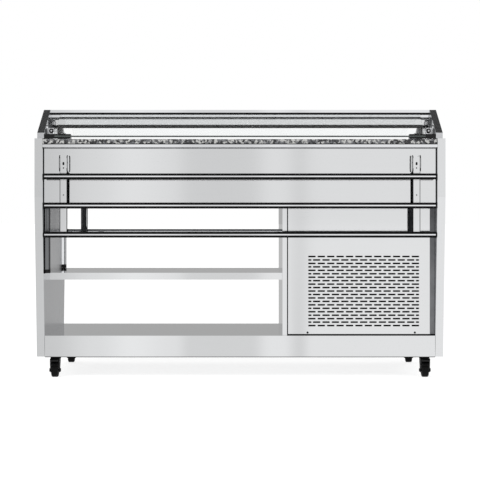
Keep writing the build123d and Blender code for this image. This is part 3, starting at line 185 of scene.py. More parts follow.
def brushed(name, base, rough, grain=(0.02, 1, 1), front=None):
    """Rolled or drawn metal: faint streaks along the grain over a slow change of tone.

    A metal with a second colour has it at the front of the table as painted shade, and the first
    one at the back.
    """
    material, tree, place = begin(name)
    # Real brush lines are about 0.1 mm apart. They are drawn 4 mm apart so that they show.
    along = add(tree, "ShaderNodeMapping", {"Vector": place, "Scale": grain})
    streaks = add(tree, "ShaderNodeTexNoise", {
        "Vector": along, "Scale": 1 / (4 * MM), "Detail": 3})
    # Painted shade: the darker second colour at the front of the table stands for the end panels'
    # shade.
    if front:
        depth = add(tree, "ShaderNodeSeparateXYZ", {"Vector": place}).outputs["Y"]
        value = add(tree, "ShaderNodeMath", {0: depth, 1: 0.5})
        stops = [(0.4, tint(front)), (0.6, tint(base))]
    else:
        # The sheet's tone drifts over about 200 mm, and more slowly upwards.
        tall = add(tree, "ShaderNodeMapping", {"Vector": place, "Scale": (1, 1, 0.35)})
        broad = add(tree, "ShaderNodeTexNoise", {
            "Vector": tall, "Scale": 1 / (200 * MM), "Detail": 2})
        value = add(tree, "ShaderNodeMix", {"Factor": 0.45, "A": streaks, "B": broad})
        stops = [(0.3, tint(base, 0.98)), (0.7, tint(base))]
    tone = add(tree, "ShaderNodeValToRGB", {"Fac": value}, stops)
    gloss = add(tree, "ShaderNodeMapRange", {
        "Value": streaks, "From Min": 0.3, "From Max": 0.7,
        "To Min": rough * 0.92, "To Max": rough * 1.08})
    bump = add(tree, "ShaderNodeBump", {
        "Strength": 0.02, "Distance": 0.02 * MM, "Height": streaks})
    surface = add(tree, "ShaderNodeBsdfPrincipled", {
        "Base Color": tone, "Roughness": gloss, "Normal": bump, "Metallic": 1})
    add(tree, "ShaderNodeOutputMaterial", {"Surface": surface})
    return material


def moulded(name, base, rough, bump_depth=0.05, sheen=0.5, metallic=0):
    """Moulded, cast or painted surface with a fine grain and slight unevenness of tone."""
    material, tree, place = begin(name)
    # Mould texture of about 0.5 mm, drawn at 1.2 mm so that it shows, and clouds of about 33 mm.
    grain, cloud = (add(tree, "ShaderNodeTexNoise", {
        "Vector": place, "Scale": scale, "Detail": 2}) for scale in (830, 30))
    stops = [(0.3, tint(base, 0.82)), (0.7, tint(base))]
    tone = add(tree, "ShaderNodeValToRGB", {"Fac": cloud}, stops)
    gloss = add(tree, "ShaderNodeMapRange", {
        "Value": grain, "From Min": 0.3, "From Max": 0.7,
        "To Min": rough * 0.85, "To Max": min(1, rough * 1.15)})
    bump = add(tree, "ShaderNodeBump", {
        "Strength": 0.3, "Distance": bump_depth * MM, "Height": grain})
    surface = add(tree, "ShaderNodeBsdfPrincipled", {
        "Base Color": tone, "Roughness": gloss, "Normal": bump,
        "Metallic": metallic, "Specular IOR Level": sheen})
    add(tree, "ShaderNodeOutputMaterial", {"Surface": surface})
    return material


def granite(name):
    """Salt-and-pepper granite: grains of 4 to 10 mm with ragged outlines, and fine specks."""
    material, tree, place = begin(name)
    # Grains lie about 6.7 mm apart. Noise of about 6 mm moves their outlines by up to 9 mm.
    ragged = add(tree, "ShaderNodeTexNoise", {"Vector": place, "Scale": 160, "Detail": 3})
    shifted = add(tree, "ShaderNodeVectorMath", {
        0: ragged.outputs["Color"], 1: [9 * MM] * 3, 2: place}, operation="MULTIPLY_ADD")
    grains = add(tree, "ShaderNodeTexVoronoi", {"Vector": shifted, "Scale": 150})
    pick = add(tree, "ShaderNodeSeparateColor", {"Color": grains.outputs["Color"]})
    # Specks of about 2.4 mm.
    specks = add(tree, "ShaderNodeTexNoise", {"Vector": place, "Scale": 420, "Detail": 2})
    value = add(tree, "ShaderNodeMix", {"Factor": 0.3, "A": pick, "B": specks})
    dark, grey, pale = tint("granite_dark"), tint("granite_grey"), tint("granite_pale")
    tone = add(tree, "ShaderNodeValToRGB", {"Fac": value}, [
        (0, dark), (0.4, dark), (0.46, grey), (0.61, grey), (0.67, pale), (1, pale)])
    surface = add(tree, "ShaderNodeBsdfPrincipled", {"Base Color": tone, "Roughness": 0.14})
    add(tree, "ShaderNodeOutputMaterial", {"Surface": surface})
    return material


def clear_glass(name):
    """Clear float glass with a trace of dust; light passes to what is under it."""
    material, tree, place = begin(name)
    # Smears of dust about 170 mm across.
    dust = add(tree, "ShaderNodeTexNoise", {"Vector": place, "Scale": 6, "Detail": 3})
    haze = add(tree, "ShaderNodeMapRange", {
        "Value": dust, "From Min": 0.35, "From Max": 0.75, "To Min": 0, "To Max": 0.02})
    # Coated against reflections, so it mirrors far less than bare glass at 1.5.
    surface = add(tree, "ShaderNodeBsdfPrincipled", {
        "Base Color": tint("glass_tint"), "Roughness": haze, "IOR": 1.12,
        "Transmission Weight": 1})
    open_way = add(tree, "ShaderNodeBsdfTransparent", {"Color": tint("glass_tint")})
    shadow = add(tree, "ShaderNodeLightPath").outputs["Is Shadow Ray"]
    both = add(tree, "ShaderNodeMixShader", {0: shadow, 1: surface, 2: open_way})
    add(tree, "ShaderNodeOutputMaterial", {"Surface": both})
    return material


# What makes each finish, its colour and its roughness. Then come a brushed metal's stretch along
# the grain and its painted front shade, or a moulded one's bump in millimetres, sheen and metallic
# value.
FINISHES = {
    # Bright annealed stainless sheet, cold rolled: close to a mirror, with faint streaks.
    "bright stainless": (brushed, "stainless", 0.05),
    # Plain milled stainless sheet: blurred grey reflections.
    "dull stainless": (brushed, "dull_steel", 0.24),
    # Stainless tube, polished after drawing: sharp bright lines along it.
    "polished tube": (brushed, "bright_steel", 0.05),
    # Stainless tube as drawn, with upright lines: soft shine, with painted shade at the front of
    # the table.
    "guide tube": (brushed, "bright_steel", 0.12, (1, 1, 0.02), "guide_steel"),
    # Extruded aluminium, anodised: an even satin.
    "anodised aluminium": (brushed, "aluminium", 0.3),
    # Soft copper tube, drawn: warm, with a dull shine.
    "copper tube": (brushed, "copper", 0.3, (0.2, 1, 1)),
    # Granite slab, sawn and polished: sharp grains under a clear gloss.
    "speckled granite": (granite,),
    # Coated float glass: little but what lies behind it.
    "clear glass": (clear_glass,),
    # Ground and polished edge of float glass: the dark grey-green of its width.
    "glass edge": (moulded, "glass_edge", 0.12, 0.01),
    # ABS, moulded with a fine texture: black with a soft shine.
    "black plastic": (moulded, "black_plastic", 0.45, 0.05, 0.25),
    # EPDM rubber, extruded: matt black. Two matt greys of painted shade follow.
    "black rubber": (moulded, "rubber", 0.7, 0.05, 0.12),
    "grey rubber": (moulded, "grey_rubber", 0.7, 0.05, 0.12),
    "pale rubber": (moulded, "pale_rubber", 0.7, 0.05, 0.12),
    # Stoved enamel on steel: black and glossy.
    "dark enamel": (moulded, "black_plastic", 0.3, 0.03),
    # Powder coat on steel: black with a low shine.
    "dark paint": (moulded, "dark_paint", 0.5, 0.02, 0.2),
    # Gloss paint on steel: an even red shine.
    "red paint": (moulded, "red_paint", 0.35, 0.02),
    # Hot-dip galvanised steel: dull, slightly cloudy metal.
    "galvanised steel": (moulded, "zinc", 0.42, 0.03, 0.5, 1),
    # Opal polycarbonate, extruded: white with a soft gloss.
    "white polycarbonate": (moulded, "polycarbonate", 0.35, 0.02),
    # PVC pipe, extruded: off-white and smooth.
    "pipe plastic": (moulded, "pipe", 0.4),
    # Smooth grey with a slight shine: painted shadow under the counter frame's lip.
    "grey sealant": (moulded, "sealant", 0.6, 0.02),
    # Polyurethane foam, blown: cream, rough and matt.
    "tank foam": (moulded, "foam", 0.9, 0.4),
    # Black with no shine at all: painted shade of the machine bay, seen through the vent slots.
    "filter foam": (moulded, "filter_foam", 0.95, 0.3, 0),
}


def finish_of(name):
    """The named finish, made when it is first asked for."""
    maker, *values = FINISHES[name]
    return bpy.data.materials.get(name) or maker(name, *values)


def dress(name, *nodes):
    """Gives CAD nodes a finish."""
    for node in nodes:
        NODES[node].data.materials.clear()
        NODES[node].data.materials.append(finish_of(name))


# Meshes. A shell is the points and faces of a closed form, with the number of each face's finish.

def swept(sections, mark=0):
    """Shell of a bar through sections of four points each."""
    last = 4 * (len(sections) - 1)
    faces = [(0, 1, 2, 3), tuple(range(last, last + 4))]
    for i in range(0, last, 4):
        for j, k in ((0, 1), (1, 2), (2, 3), (3, 0)):
            faces.append((i + j, i + k, i + 4 + k, i + 4 + j))
    points = [point for section in sections for point in section]
    return points, faces, [mark] * len(faces)


def block(x, y, z, mark=0):
    """Shell of a box between limits on X, Y and Z."""
    corners = ((y[0], z[0]), (y[1], z[0]), (y[1], z[1]), (y[0], z[1]))
    return swept([[(end, *corner) for corner in corners] for end in x], mark)


def span(side, near, far):
    """Limits between two distances from the middle, on one side of it."""
    return sorted((side * near, side * far))


def turned(profile, centre, axis, mark=0):
    """Shell of a closed ring of (along, radius) profile points, turned about X or Y."""
    points, faces = [], []
    steps, count = 48, len(profile)
    for i in range(steps):
        angle = 2 * math.pi * i / steps
        for j, (along, radius) in enumerate(profile):
            a, b = radius * math.cos(angle), radius * math.sin(angle)
            point = (along, a, b) if axis == "X" else (b, along, a)
            points.append(Vector(point) + Vector(centre))
            this, following, k = i * count, (i + 1) % steps * count, (j + 1) % count
            faces.append((this + j, following + j, following + k, this + k))
    return points, faces, [mark] * len(faces)


def pane(start, end, half_x, thickness):
    """Shell of a glass pane between two long edges (y, z), which show dark; its ends are clear."""
    bevel, half = sizes().glass_bevel, thickness / 2
    start, end = Vector(start), Vector(end)
    run = (end - start).normalized()
    up = Vector((-run.y, run.x))
    sections = []
    for height, inset in ((-half, bevel), (bevel - half, 0), (half - bevel, 0), (half, bevel)):
        low = start + run * inset + up * height
        high = end - run * inset + up * height
        x = half_x - inset
        sections.append([(-x, *low), (x, *low), (x, *high), (-x, *high)])
    points, faces, _ = swept(sections)
    return points, faces, [0, 0] + 3 * [1, 0, 1, 0]


def piece(name, mesh, body, replaced=()):
    """A finished mesh as a piece that moves with a body."""
    item = bpy.data.objects.new(name, mesh)
    bpy.context.scene.collection.objects.link(item)
    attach(item, body)
    if replaced:
        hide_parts(*replaced)


def shell_piece(name, shells, finishes, body, replaced=(), smooth=0):
    """A piece of shells turned outwards, smooth where its faces meet at less than an angle."""
    form = bmesh.new()
    for points, faces, marks in shells:
        corners = [form.verts.new(point) for point in points]
        for face, mark in zip(faces, marks):
            form.faces.new([corners[i] for i in face]).material_index = mark
    bmesh.ops.recalc_face_normals(form, faces=form.faces)
    mesh = bpy.data.meshes.new(name)
    form.to_mesh(mesh)
    form.free()
    for finish in finishes:
        mesh.materials.append(finish_of(finish))
    if smooth:
        mesh.shade_smooth()
        mesh.set_sharp_from_angle(angle=math.radians(smooth))
    mesh.validate()
    piece(name, mesh, body, replaced)


def grown_piece(name, tree, points, values, body, replaced=()):
    """A piece from the plain mesh that a tree makes on a set of points."""
    carrier_mesh = bpy.data.meshes.new(name + "_points")
    carrier_mesh.from_pydata(points, [], [])
    carrier = bpy.data.objects.new(name + "_points", carrier_mesh)
    bpy.context.scene.collection.objects.link(carrier)
    modifier = carrier.modifiers.new("Build", "NODES")
    modifier.node_group = tree
    for item in tree.interface.items_tree:
        if item.in_out == "INPUT" and item.name in values:
            modifier[item.identifier] = values[item.name]
    graph = bpy.context.evaluated_depsgraph_get()
    mesh = bpy.data.meshes.new_from_object(carrier.evaluated_get(graph))
    mesh.name = name
    bpy.data.objects.remove(carrier)
    piece(name, mesh, body, replaced)


# Geometry nodes

def begin_tree(name, *inputs):
    """A geometry node tree with named sizes, and the sockets that give them."""
    tree = bpy.data.node_groups.new(name, "GeometryNodeTree")
    for way in ("OUTPUT", "INPUT"):
        tree.interface.new_socket("Geometry", in_out=way, socket_type="NodeSocketGeometry")
    for key in inputs:
        tree.interface.new_socket(key, in_out="INPUT", socket_type="NodeSocketFloat")
    return tree, add(tree, "NodeGroupInput").outputs


def close_tree(tree, given, shape, finish):
    """Sets a shape on each given point, and ends the tree in real meshes with a finish."""
    spread = add(tree, "GeometryNodeInstanceOnPoints", {
        "Points": given["Geometry"], "Instance": shape})
    real = add(tree, "GeometryNodeRealizeInstances", {"Geometry": spread})
    painted = add(tree, "GeometryNodeSetMaterial", {
        "Geometry": real, "Material": finish_of(finish)})
    add(tree, "NodeGroupOutput", {"Geometry": painted})
    return tree


def cap_tree():
    """Round caps with domed faces, one on each point, lying along X."""
    tree, given = begin_tree("tube_caps", "Radius", "Length")
    joined = add(tree, "GeometryNodeJoinGeometry")
    sleeve = add(tree, "GeometryNodeMeshCylinder", {
        "Vertices": 32, "Radius": given["Radius"], "Depth": given["Length"]})
    tree.links.new(sleeve.outputs["Mesh"], joined.inputs["Geometry"])
    dome = add(tree, "GeometryNodeMeshUVSphere", {
        "Segments": 32, "Rings": 12, "Radius": given["Radius"]})
    for share in (0.5, -0.5):
        reach = add(tree, "ShaderNodeMath", {0: given["Length"], 1: share}, operation="MULTIPLY")
        place = add(tree, "ShaderNodeCombineXYZ", {"Z": reach})
        flat = add(tree, "GeometryNodeTransform", {
            "Geometry": dome, "Scale": (0.99, 0.99, 0.16), "Translation": place})
        tree.links.new(flat.outputs["Geometry"], joined.inputs["Geometry"])
    laid = add(tree, "GeometryNodeTransform", {
        "Geometry": joined, "Rotation": (0, math.pi / 2, 0)})
    smooth = add(tree, "GeometryNodeSetShadeSmooth", {"Geometry": laid})
    return close_tree(tree, given, smooth, "black plastic")


def screw_tree():
    """Pan heads with a cross recess, facing along Y, one on each point."""
    tree, given = begin_tree("screw_heads", "Radius", "Height", "Recess")
    radius, height, recess = (given[key] for key in ("Radius", "Height", "Recess"))
    head = add(tree, "GeometryNodeMeshUVSphere", {"Segments": 24, "Rings": 12, "Radius": radius})
    share = add(tree, "ShaderNodeMath", {0: height, 1: radius}, operation="DIVIDE")
    squash = add(tree, "ShaderNodeCombineXYZ", {"X": 1, "Y": share, "Z": 1})
    solid = add(tree, "GeometryNodeTransform", {"Geometry": head, "Scale": squash})
    across = add(tree, "ShaderNodeMath", {0: radius, 1: 1.1}, operation="MULTIPLY")
    deep = add(tree, "ShaderNodeMath", {0: height, 1: 3.4}, operation="MULTIPLY")
    for x, z in ((across, recess), (recess, across)):
        size = add(tree, "ShaderNodeCombineXYZ", {"X": x, "Y": deep, "Z": z})
        bar = add(tree, "GeometryNodeMeshCube", {"Size": size})
        solid = add(tree, "GeometryNodeMeshBoolean", {
            "Mesh 1": solid, "Mesh 2": bar}, operation="DIFFERENCE")
    return close_tree(tree, given, solid, "dark paint")


def rib_tree():
    """Half-round ribs along X, one on each point, for the light lens."""
    tree, given = begin_tree("lens_ribs", "Radius", "Length")
    rib = add(tree, "GeometryNodeMeshCylinder", {
        "Vertices": 12, "Radius": given["Radius"], "Depth": given["Length"]})
    laid = add(tree, "GeometryNodeTransform", {
        "Geometry": rib, "Rotation": (0, math.pi / 2, 0)})
    smooth = add(tree, "GeometryNodeSetShadeSmooth", {"Geometry": laid})
    return close_tree(tree, given, smooth, "white polycarbonate")


def strainer_tree():
    """Spokes and rings of a round drain strainer about each point."""
    tree, given = begin_tree("drain_strainer", "Radius", "Wire")
    radius, wire = given["Radius"], given["Wire"]
    joined = add(tree, "GeometryNodeJoinGeometry")
    section = add(tree, "GeometryNodeCurvePrimitiveCircle", {"Resolution": 8, "Radius": wire})
    for share in (1, 0.72, 0.44):
        size = add(tree, "ShaderNodeMath", {0: radius, 1: share}, operation="MULTIPLY")
        ring = add(tree, "GeometryNodeCurvePrimitiveCircle", {"Resolution": 40, "Radius": size})
        tube = add(tree, "GeometryNodeCurveToMesh", {"Curve": ring, "Profile Curve": section})
        tree.links.new(tube.outputs["Mesh"], joined.inputs["Geometry"])
    # The spokes start from a tiny ring of points and turn with the point's number.
    count = 16
    hub = add(tree, "GeometryNodeMeshCircle", {"Vertices": count, "Radius": 0.1 * MM})
    size = add(tree, "ShaderNodeCombineXYZ", {"X": radius, "Y": wire, "Z": wire})
    bar = add(tree, "GeometryNodeMeshCube", {"Size": size})
    half = add(tree, "ShaderNodeMath", {0: radius, 1: 0.5}, operation="MULTIPLY")
    out = add(tree, "ShaderNodeCombineXYZ", {"X": half})
    spoke = add(tree, "GeometryNodeTransform", {"Geometry": bar, "Translation": out})
    number = add(tree, "GeometryNodeInputIndex")
    angle = add(tree, "ShaderNodeMath", {
        0: number, 1: 2 * math.pi / count}, operation="MULTIPLY")
    turn = add(tree, "ShaderNodeCombineXYZ", {"Z": angle})
    star = add(tree, "GeometryNodeInstanceOnPoints", {
        "Points": hub, "Instance": spoke, "Rotation": turn})
    tree.links.new(star.outputs["Instances"], joined.inputs["Geometry"])
    return close_tree(tree, given, joined, "polished tube")


# Operators

class BUFFET_OT_sheet_metal(bpy.types.Operator):
    """Finish the folded stainless sheets, add the granite's joints, and add strips and sheets of
    painted shade at their gaps, edges and slots
    """

    bl_idname = "buffet.sheet_metal"
    bl_label = "Sheet metal"

    def execute(self, context):
        dress("bright stainless", "left_end_panel", "right_end_panel", "base_pan",
              "front_service_panel", "rear_service_panel", "aprons", "compartment_divider",
              "mid_shelf", "light_box")
        dress("dull stainless", "side_liners", "tank_floor", "canopy_left_side",
              "canopy_right_side")
        self.seals()
        self.gaskets()
        self.filters()
        return {"FINISHED"}

    def seals(self):
        """Joints under the granite, and strips of painted shadow above the aprons and under the
        base.
        """
        aprons, lip, pan = (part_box(node) for node in ("aprons", "counter_frame", "base_pan"))
        under = min(aprons[1].z, lip[0].z) - 0.2 * MM
        slab = lip[1].z
        # Finish, corner that it follows, millimetres set back and proud of that, bottom and top.
        strips = {
            "apron_seals": ("grey sealant", aprons[1], 0, 1.5, under - 4 * MM, under),
            "granite_joints": ("black rubber", lip[1], 0, 0.5, slab - 1.6 * MM, slab + 1.4 * MM),
            "drip_edges": ("black rubber", pan[1], 2, 2, pan[0].z - 2.4 * MM, pan[0].z),
        }
        for name, (finish, corner, back, proud, bottom, top) in strips.items():
            x, y = corner.x, corner.y - back * MM
            shells = [block((-x, x), span(side, y, y + proud * MM), (bottom, top))
                      for side in SIDES]
            shell_piece(name, shells, (finish,), "cabinet")

    def gaskets(self):
        """Dark strips of painted shade at the foot of the service panels, and pale ones up their
        right edges.
        """
        low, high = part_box("front_service_panel")
        foot, edge, proud = low.z + 4.6 * MM, high.x - 17 * MM, 1 * MM
        shells = []
        for side in SIDES:
            y = span(side, -low.y, -low.y + proud)
            shells += [block((low.x, high.x), y, (low.z, foot)),
                       block((edge, high.x), y, (foot, high.z), 1)]
        shell_piece("panel_gaskets", shells, ("black rubber", "pale rubber"),
                    "cabinet")

    def filters(self):
        """Pleated black sheets of painted shade behind the slots of both service panels."""
        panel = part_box("front_service_panel")[0]
        pitch, depth = sizes().pleat_pitch, sizes().pleat_depth
        wall, gap = 1 * MM, 2.2 * MM
        left, low, high = panel.x + 50 * MM, panel.z + 18 * MM, panel.z + 325 * MM
        shells = []
        for side, reach in ((-1, 470 * MM), (1, 405 * MM)):
            sections = []
            for i in range(int(reach / pitch) + 1):
                x, near = left + i * pitch, side * (-panel.y - gap - i % 2 * depth)
                far = near - side * wall
                sections.append([(x, near, low), (x, near, high), (x, far, high), (x, far, low)])
            shells.append(swept(sections))
        shell_piece("dust_filters", shells, ("filter foam",), "cabinet")


class BUFFET_OT_counter(bpy.types.Operator):
    """Finish the granite counter and the frame under it"""

    bl_idname = "buffet.counter"
    bl_label = "Counter"

    def execute(self, context):
        dress("speckled granite", "granite_counter")
        dress("polished tube", "counter_frame")
        return {"FINISHED"}


class BUFFET_OT_well(bpy.types.Operator):
    """Finish the cold well and add its drain strainer"""

    bl_idname = "buffet.well"
    bl_label = "Cold well"

    def execute(self, context):
        dress("dull stainless", "well_liner", "pan_bars")
        dress("tank foam", "insulation")
        dress("copper tube", "evaporator_coil")
        low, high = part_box("drain_pipe")
        lift = 3.4 * MM
        centre = ((low.x + high.x) / 2, 0, high.z + lift)
        values = {"Radius": sizes().strainer_radius, "Wire": sizes().strainer_wire}
        grown_piece("drain_strainer", strainer_tree(), [centre], values, "cabinet")
        return {"FINISHED"}


class BUFFET_OT_canopy(bpy.types.Operator):
    """Make the glass panes with polished edges, and finish the canopy's rails and clamps"""

    bl_idname = "buffet.canopy"
    bl_label = "Canopy"

    # Strips of a ridge rail: a gasket in its groove, which also darkens the groove as painted
    # shade, and one of painted shadow along its lower edge. Bottom, top and depth behind its face,
    # in millimetres.
    rail_strips = ((997.2, 1001.2, 3.2), (981.4, 985, 6))
    # Dark sheets of painted shade in the canopy's corners: near and far edge from the middle,
    # bottom and top, in millimetres.
    corner_shade_sheets = ((293, 330, 912.5, 934), (125, 240, 896.5, 978), (62, 125, 896.5, 958))

    def execute(self, context):
        dress("polished tube", "ridge_rails")
        dress("black plastic", "glass_clamps")
        self.gaskets()
        self.linings()
        low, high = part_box("sloped_glass")
        rise = GLASS_WALL / 2 * math.cos(GLASS_SLOPE)
        bottom = (low.y + GLASS_WALL / 2 * math.sin(GLASS_SLOPE), low.z + rise)
        run = (high.z - low.z - 2 * rise) / math.tan(GLASS_SLOPE)
        top = (bottom[0] + run, high.z - rise)
        self.ridge_seals(top)
        panes = [pane((side * bottom[0], bottom[1]), (side * top[0], top[1]), high.x, GLASS_WALL)
                 for side in SIDES]
        shell_piece("sloped_panes", panes, ("clear glass", "glass edge"),
                    "canopy", ("sloped_glass",))
        low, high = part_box("top_glass")
        middle = (low.z + high.z) / 2
        lid = pane((low.y, middle), (high.y, middle), high.x, high.z - low.z)
        shell_piece("top_pane", [lid], ("clear glass", "glass edge"),
                    "canopy", ("top_glass",))
        return {"FINISHED"}

    def ridge_seals(self, top):
        """Black seals lying on the sloped panes, just below their upper edges."""
        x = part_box("ridge_rails")[1].x - 0.5 * MM
        along = Vector((math.cos(GLASS_SLOPE), math.sin(GLASS_SLOPE)))
        out = Vector((-along.y, along.x))
        near, far, under, over = 4 * MM, 19 * MM, 0.1 * MM, 1.1 * MM
        section = [Vector(top) - along * back + out * (GLASS_WALL / 2 + rise) for back, rise in (
            (near, under), (far, under), (far, over), (near, over))]
        shells = [swept([[(end, -side * y, z) for y, z in section] for end in (-x, x)])
                  for side in SIDES]
        shell_piece("ridge_seals", shells, ("black rubber",), "canopy")

    def gaskets(self):
        """Black rubber gaskets in the grooves of the ridge rails, which also paint the grooves'
        shade, and strips of painted shadow along the rails' lower edges.
        """
        low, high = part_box("ridge_rails")
        x, inset = (low.x + 1 * MM, high.x - 1 * MM), 0.4 * MM
        shells = [block(x, span(side, high.y - inset, high.y - depth * MM), (bottom * MM, top * MM))
                  for side in SIDES for bottom, top, depth in self.rail_strips]
        shell_piece("rail_gaskets", shells, ("black rubber",), "canopy")

    def linings(self):
        """Dark sheets of painted shade on the inner faces of the canopy's sides, round the column
        guides.
        """
        inner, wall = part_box("canopy_right_side")[0].x, 0.3 * MM
        shells = [block(span(end, inner, inner - wall), span(side, near * MM, far * MM),
                        (bottom * MM, top * MM))
                  for end in SIDES for side in SIDES
                  for near, far, bottom, top in self.corner_shade_sheets]
        shell_piece("side_linings", shells, ("grey rubber",), "canopy")


class BUFFET_OT_light(bpy.types.Operator):
    """Make the ribbed lens under the light box and the dark plate of painted shade round it"""

    bl_idname = "buffet.light"
    bl_label = "Light lens"

    def execute(self, context):
        dress("white polycarbonate", "light_lens")
        low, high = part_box("light_lens")
        pitch, margin = sizes().rib_pitch, 8 * MM
        count = int(2 * ((high.y - low.y) / 2 - margin) / pitch)
        middle, height = (low.x + high.x) / 2, low.z + 0.4 * pitch
        points = [(middle, (i - (count - 1) / 2) * pitch, height) for i in range(count)]
        values = {"Radius": pitch / 2, "Length": high.x - low.x - 2 * margin}
        grown_piece("lens_ribs", rib_tree(), points, values, "canopy")
        self.paint_underside_shade()
        return {"FINISHED"}

    def paint_underside_shade(self):
        """A dark plate of painted shade under the light box, hung from bright strips, with a rim
        beside the lens.
        """
        low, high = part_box("light_box")
        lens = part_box("light_lens")[1]
        x, y, wall = high.x - 0.5 * MM, high.y - 1 * MM, sizes().shade_wall
        top = low.z - sizes().shade_drop
        plate, rim = (top - wall, top), (top - sizes().shade_rim, top - wall)
        shells = []
        for side in SIDES:
            shells += [block((-x, x), span(side, y, lens.y), plate),
                       block(span(side, x, lens.x), (-lens.y, lens.y), plate),
                       block((-lens.x, lens.x), span(side, lens.y, lens.y + wall), rim),
                       block((-x, x), span(side, y, y - wall), (top, low.z), 1)]
        shell_piece("light_shade", shells, ("grey rubber", "bright stainless"),
                    "canopy")


class BUFFET_OT_columns(bpy.types.Operator):
    """Finish the lift columns and their guides, and add the bright discs of the clamp knobs"""

    bl_idname = "buffet.columns"
    bl_label = "Columns and knobs"

    def execute(self, context):
        dress("polished tube", "lift_columns")
        dress("guide tube", "guide_tubes")
        dress("anodised aluminium", "column_guides")
        dress("black plastic", "guide_tube_feet", "left_clamp_knob", "right_clamp_knob")
        radius, height, hole = sizes().inlay_radius, 0.5 * MM, 0.02 * MM
        profile = [(0, hole), (-height, hole), (-height, radius * 0.85), (0, radius)]
        for side in ("left", "right"):
            low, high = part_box(f"{side}_clamp_knob")
            centre = ((low.x + high.x) / 2, low.y, (low.z + high.z) / 2)
            shell_piece(f"{side}_knob_disc", [turned(profile, centre, "Y")], ("dull stainless",),
                        f"{side}_knob", smooth=30)
        return {"FINISHED"}


def tray_tubes(side):
    """Box of a slide's three tubes, their radius and the heights of their middles."""
    low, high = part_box(f"{side}_tray_tubes")
    radius = (high.y - low.y) / 2
    step = (high.z - low.z - 2 * radius) / 2
    return low, high, radius, [low.z + radius + i * step for i in range(3)]


class BUFFET_OT_tray_slides(bpy.types.Operator):
    """Finish the tray slides, cap their tubes, and add dark strips of painted shade and reflection
    on their arms and brackets
    """

    bl_idname = "buffet.tray_slides"
    bl_label = "Tray slides"

    def execute(self, context):
        dress("bright stainless", "front_tray_arms", "rear_tray_arms", "tray_brackets")
        dress("polished tube", "front_tray_tubes", "rear_tray_tubes")
        tree, cap, proud = cap_tree(), sizes().cap_length, 0.6 * MM
        for side in ("front", "rear"):
            low, high, radius, heights = tray_tubes(side)
            reach, middle = high.x - cap / 2 + proud, (low.y + high.y) / 2
            points = [(end * reach, middle, z) for end in SIDES for z in heights]
            values = {"Radius": radius + sizes().cap_wall, "Length": cap}
            grown_piece(f"{side}_tube_caps", tree, points, values,
                        f"{side}_tray")
            self.arm_trims(side)
        self.bracket_trims()
        return {"FINISHED"}

    def arm_trims(self, side):
        """Dark strips of painted shade in the channels of a slide's arms, and of painted reflection
        along the arms' edges.
        """
        low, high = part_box(f"{side}_tray_arms")
        way, face = -1 if side == "front" else 1, max(-low.y, high.y)
        channel_shade = span(way, face - 2.9 * MM, face - 1.9 * MM)
        edge = span(way, face - 7 * MM, face - 1.2 * MM)
        bottom, joint, top = low.z + 1 * MM, high.z - 50 * MM, high.z - 1 * MM
        trim_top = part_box("tray_brackets")[0].z - 3 * MM
        wall, width = 2 * MM, sizes().trim_width
        shells = []
        for middle in (low.x + ARM_HALF, high.x - ARM_HALF):
            left, right = middle - ARM_HALF, middle + ARM_HALF
            inside = (left + wall, right - wall)
            shells += [block(inside, channel_shade, (bottom, joint), 1), block(inside, channel_shade, (joint, top))]
            shells += [block((x, x + width), edge, (bottom, trim_top))
                       for x in (left - width, right)]
        shell_piece(f"{side}_arm_trims", shells, ("black rubber", "grey rubber"),
                    f"{side}_tray")

    def bracket_trims(self):
        """Black strips of painted reflection round the front edges of the bracket ears."""
        low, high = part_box("tray_brackets")
        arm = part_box("front_tray_arms")[1].x - ARM_HALF
        outer, width, wall = high.x - arm + 0.2 * MM, sizes().trim_width, 0.6 * MM
        steps, quarter = 8, math.pi / 2
        # A quarter turn about the lower round of an ear, and one about the upper round.
        turns = [(z, first + quarter * i / steps) for z, first in (
            (low.z + EAR_ROUND, -quarter), (high.z - EAR_ROUND, 0)) for i in range(steps + 1)]
        shells = []
        for x in (arm - outer, arm + outer - width, -arm - outer, -arm + outer - width):
            for side in SIDES:
                sections = []
                for z, angle in turns:
                    sections.append([
                        (x + across, side * (high.y - EAR_ROUND + r * math.cos(angle)),
                         z + r * math.sin(angle)) for across, r in (
                            (0, EAR_ROUND), (width, EAR_ROUND),
                            (width, EAR_ROUND + wall), (0, EAR_ROUND + wall))])
                shells.append(swept(sections))
        shell_piece("bracket_trims", shells, ("black rubber",), "cabinet")


class BUFFET_OT_service_screws(bpy.types.Operator):
    """Make the screws of the service panels, with cross recesses"""

    bl_idname = "buffet.service_screws"
    bl_label = "Service screws"

    def execute(self, context):
        low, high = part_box("panel_screws")
        radius = sizes().screw_radius
        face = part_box("front_service_panel")[0].y
        points = [(x, side * face, low.z + radius)
                  for x in (low.x + radius, high.x - radius) for side in SIDES]
        values = {"Radius": radius, "Height": sizes().screw_height,
                  "Recess": sizes().recess_width}
        grown_piece("screw_heads", screw_tree(), points, values,
                    "cabinet", ("panel_screws",))
        return {"FINISHED"}


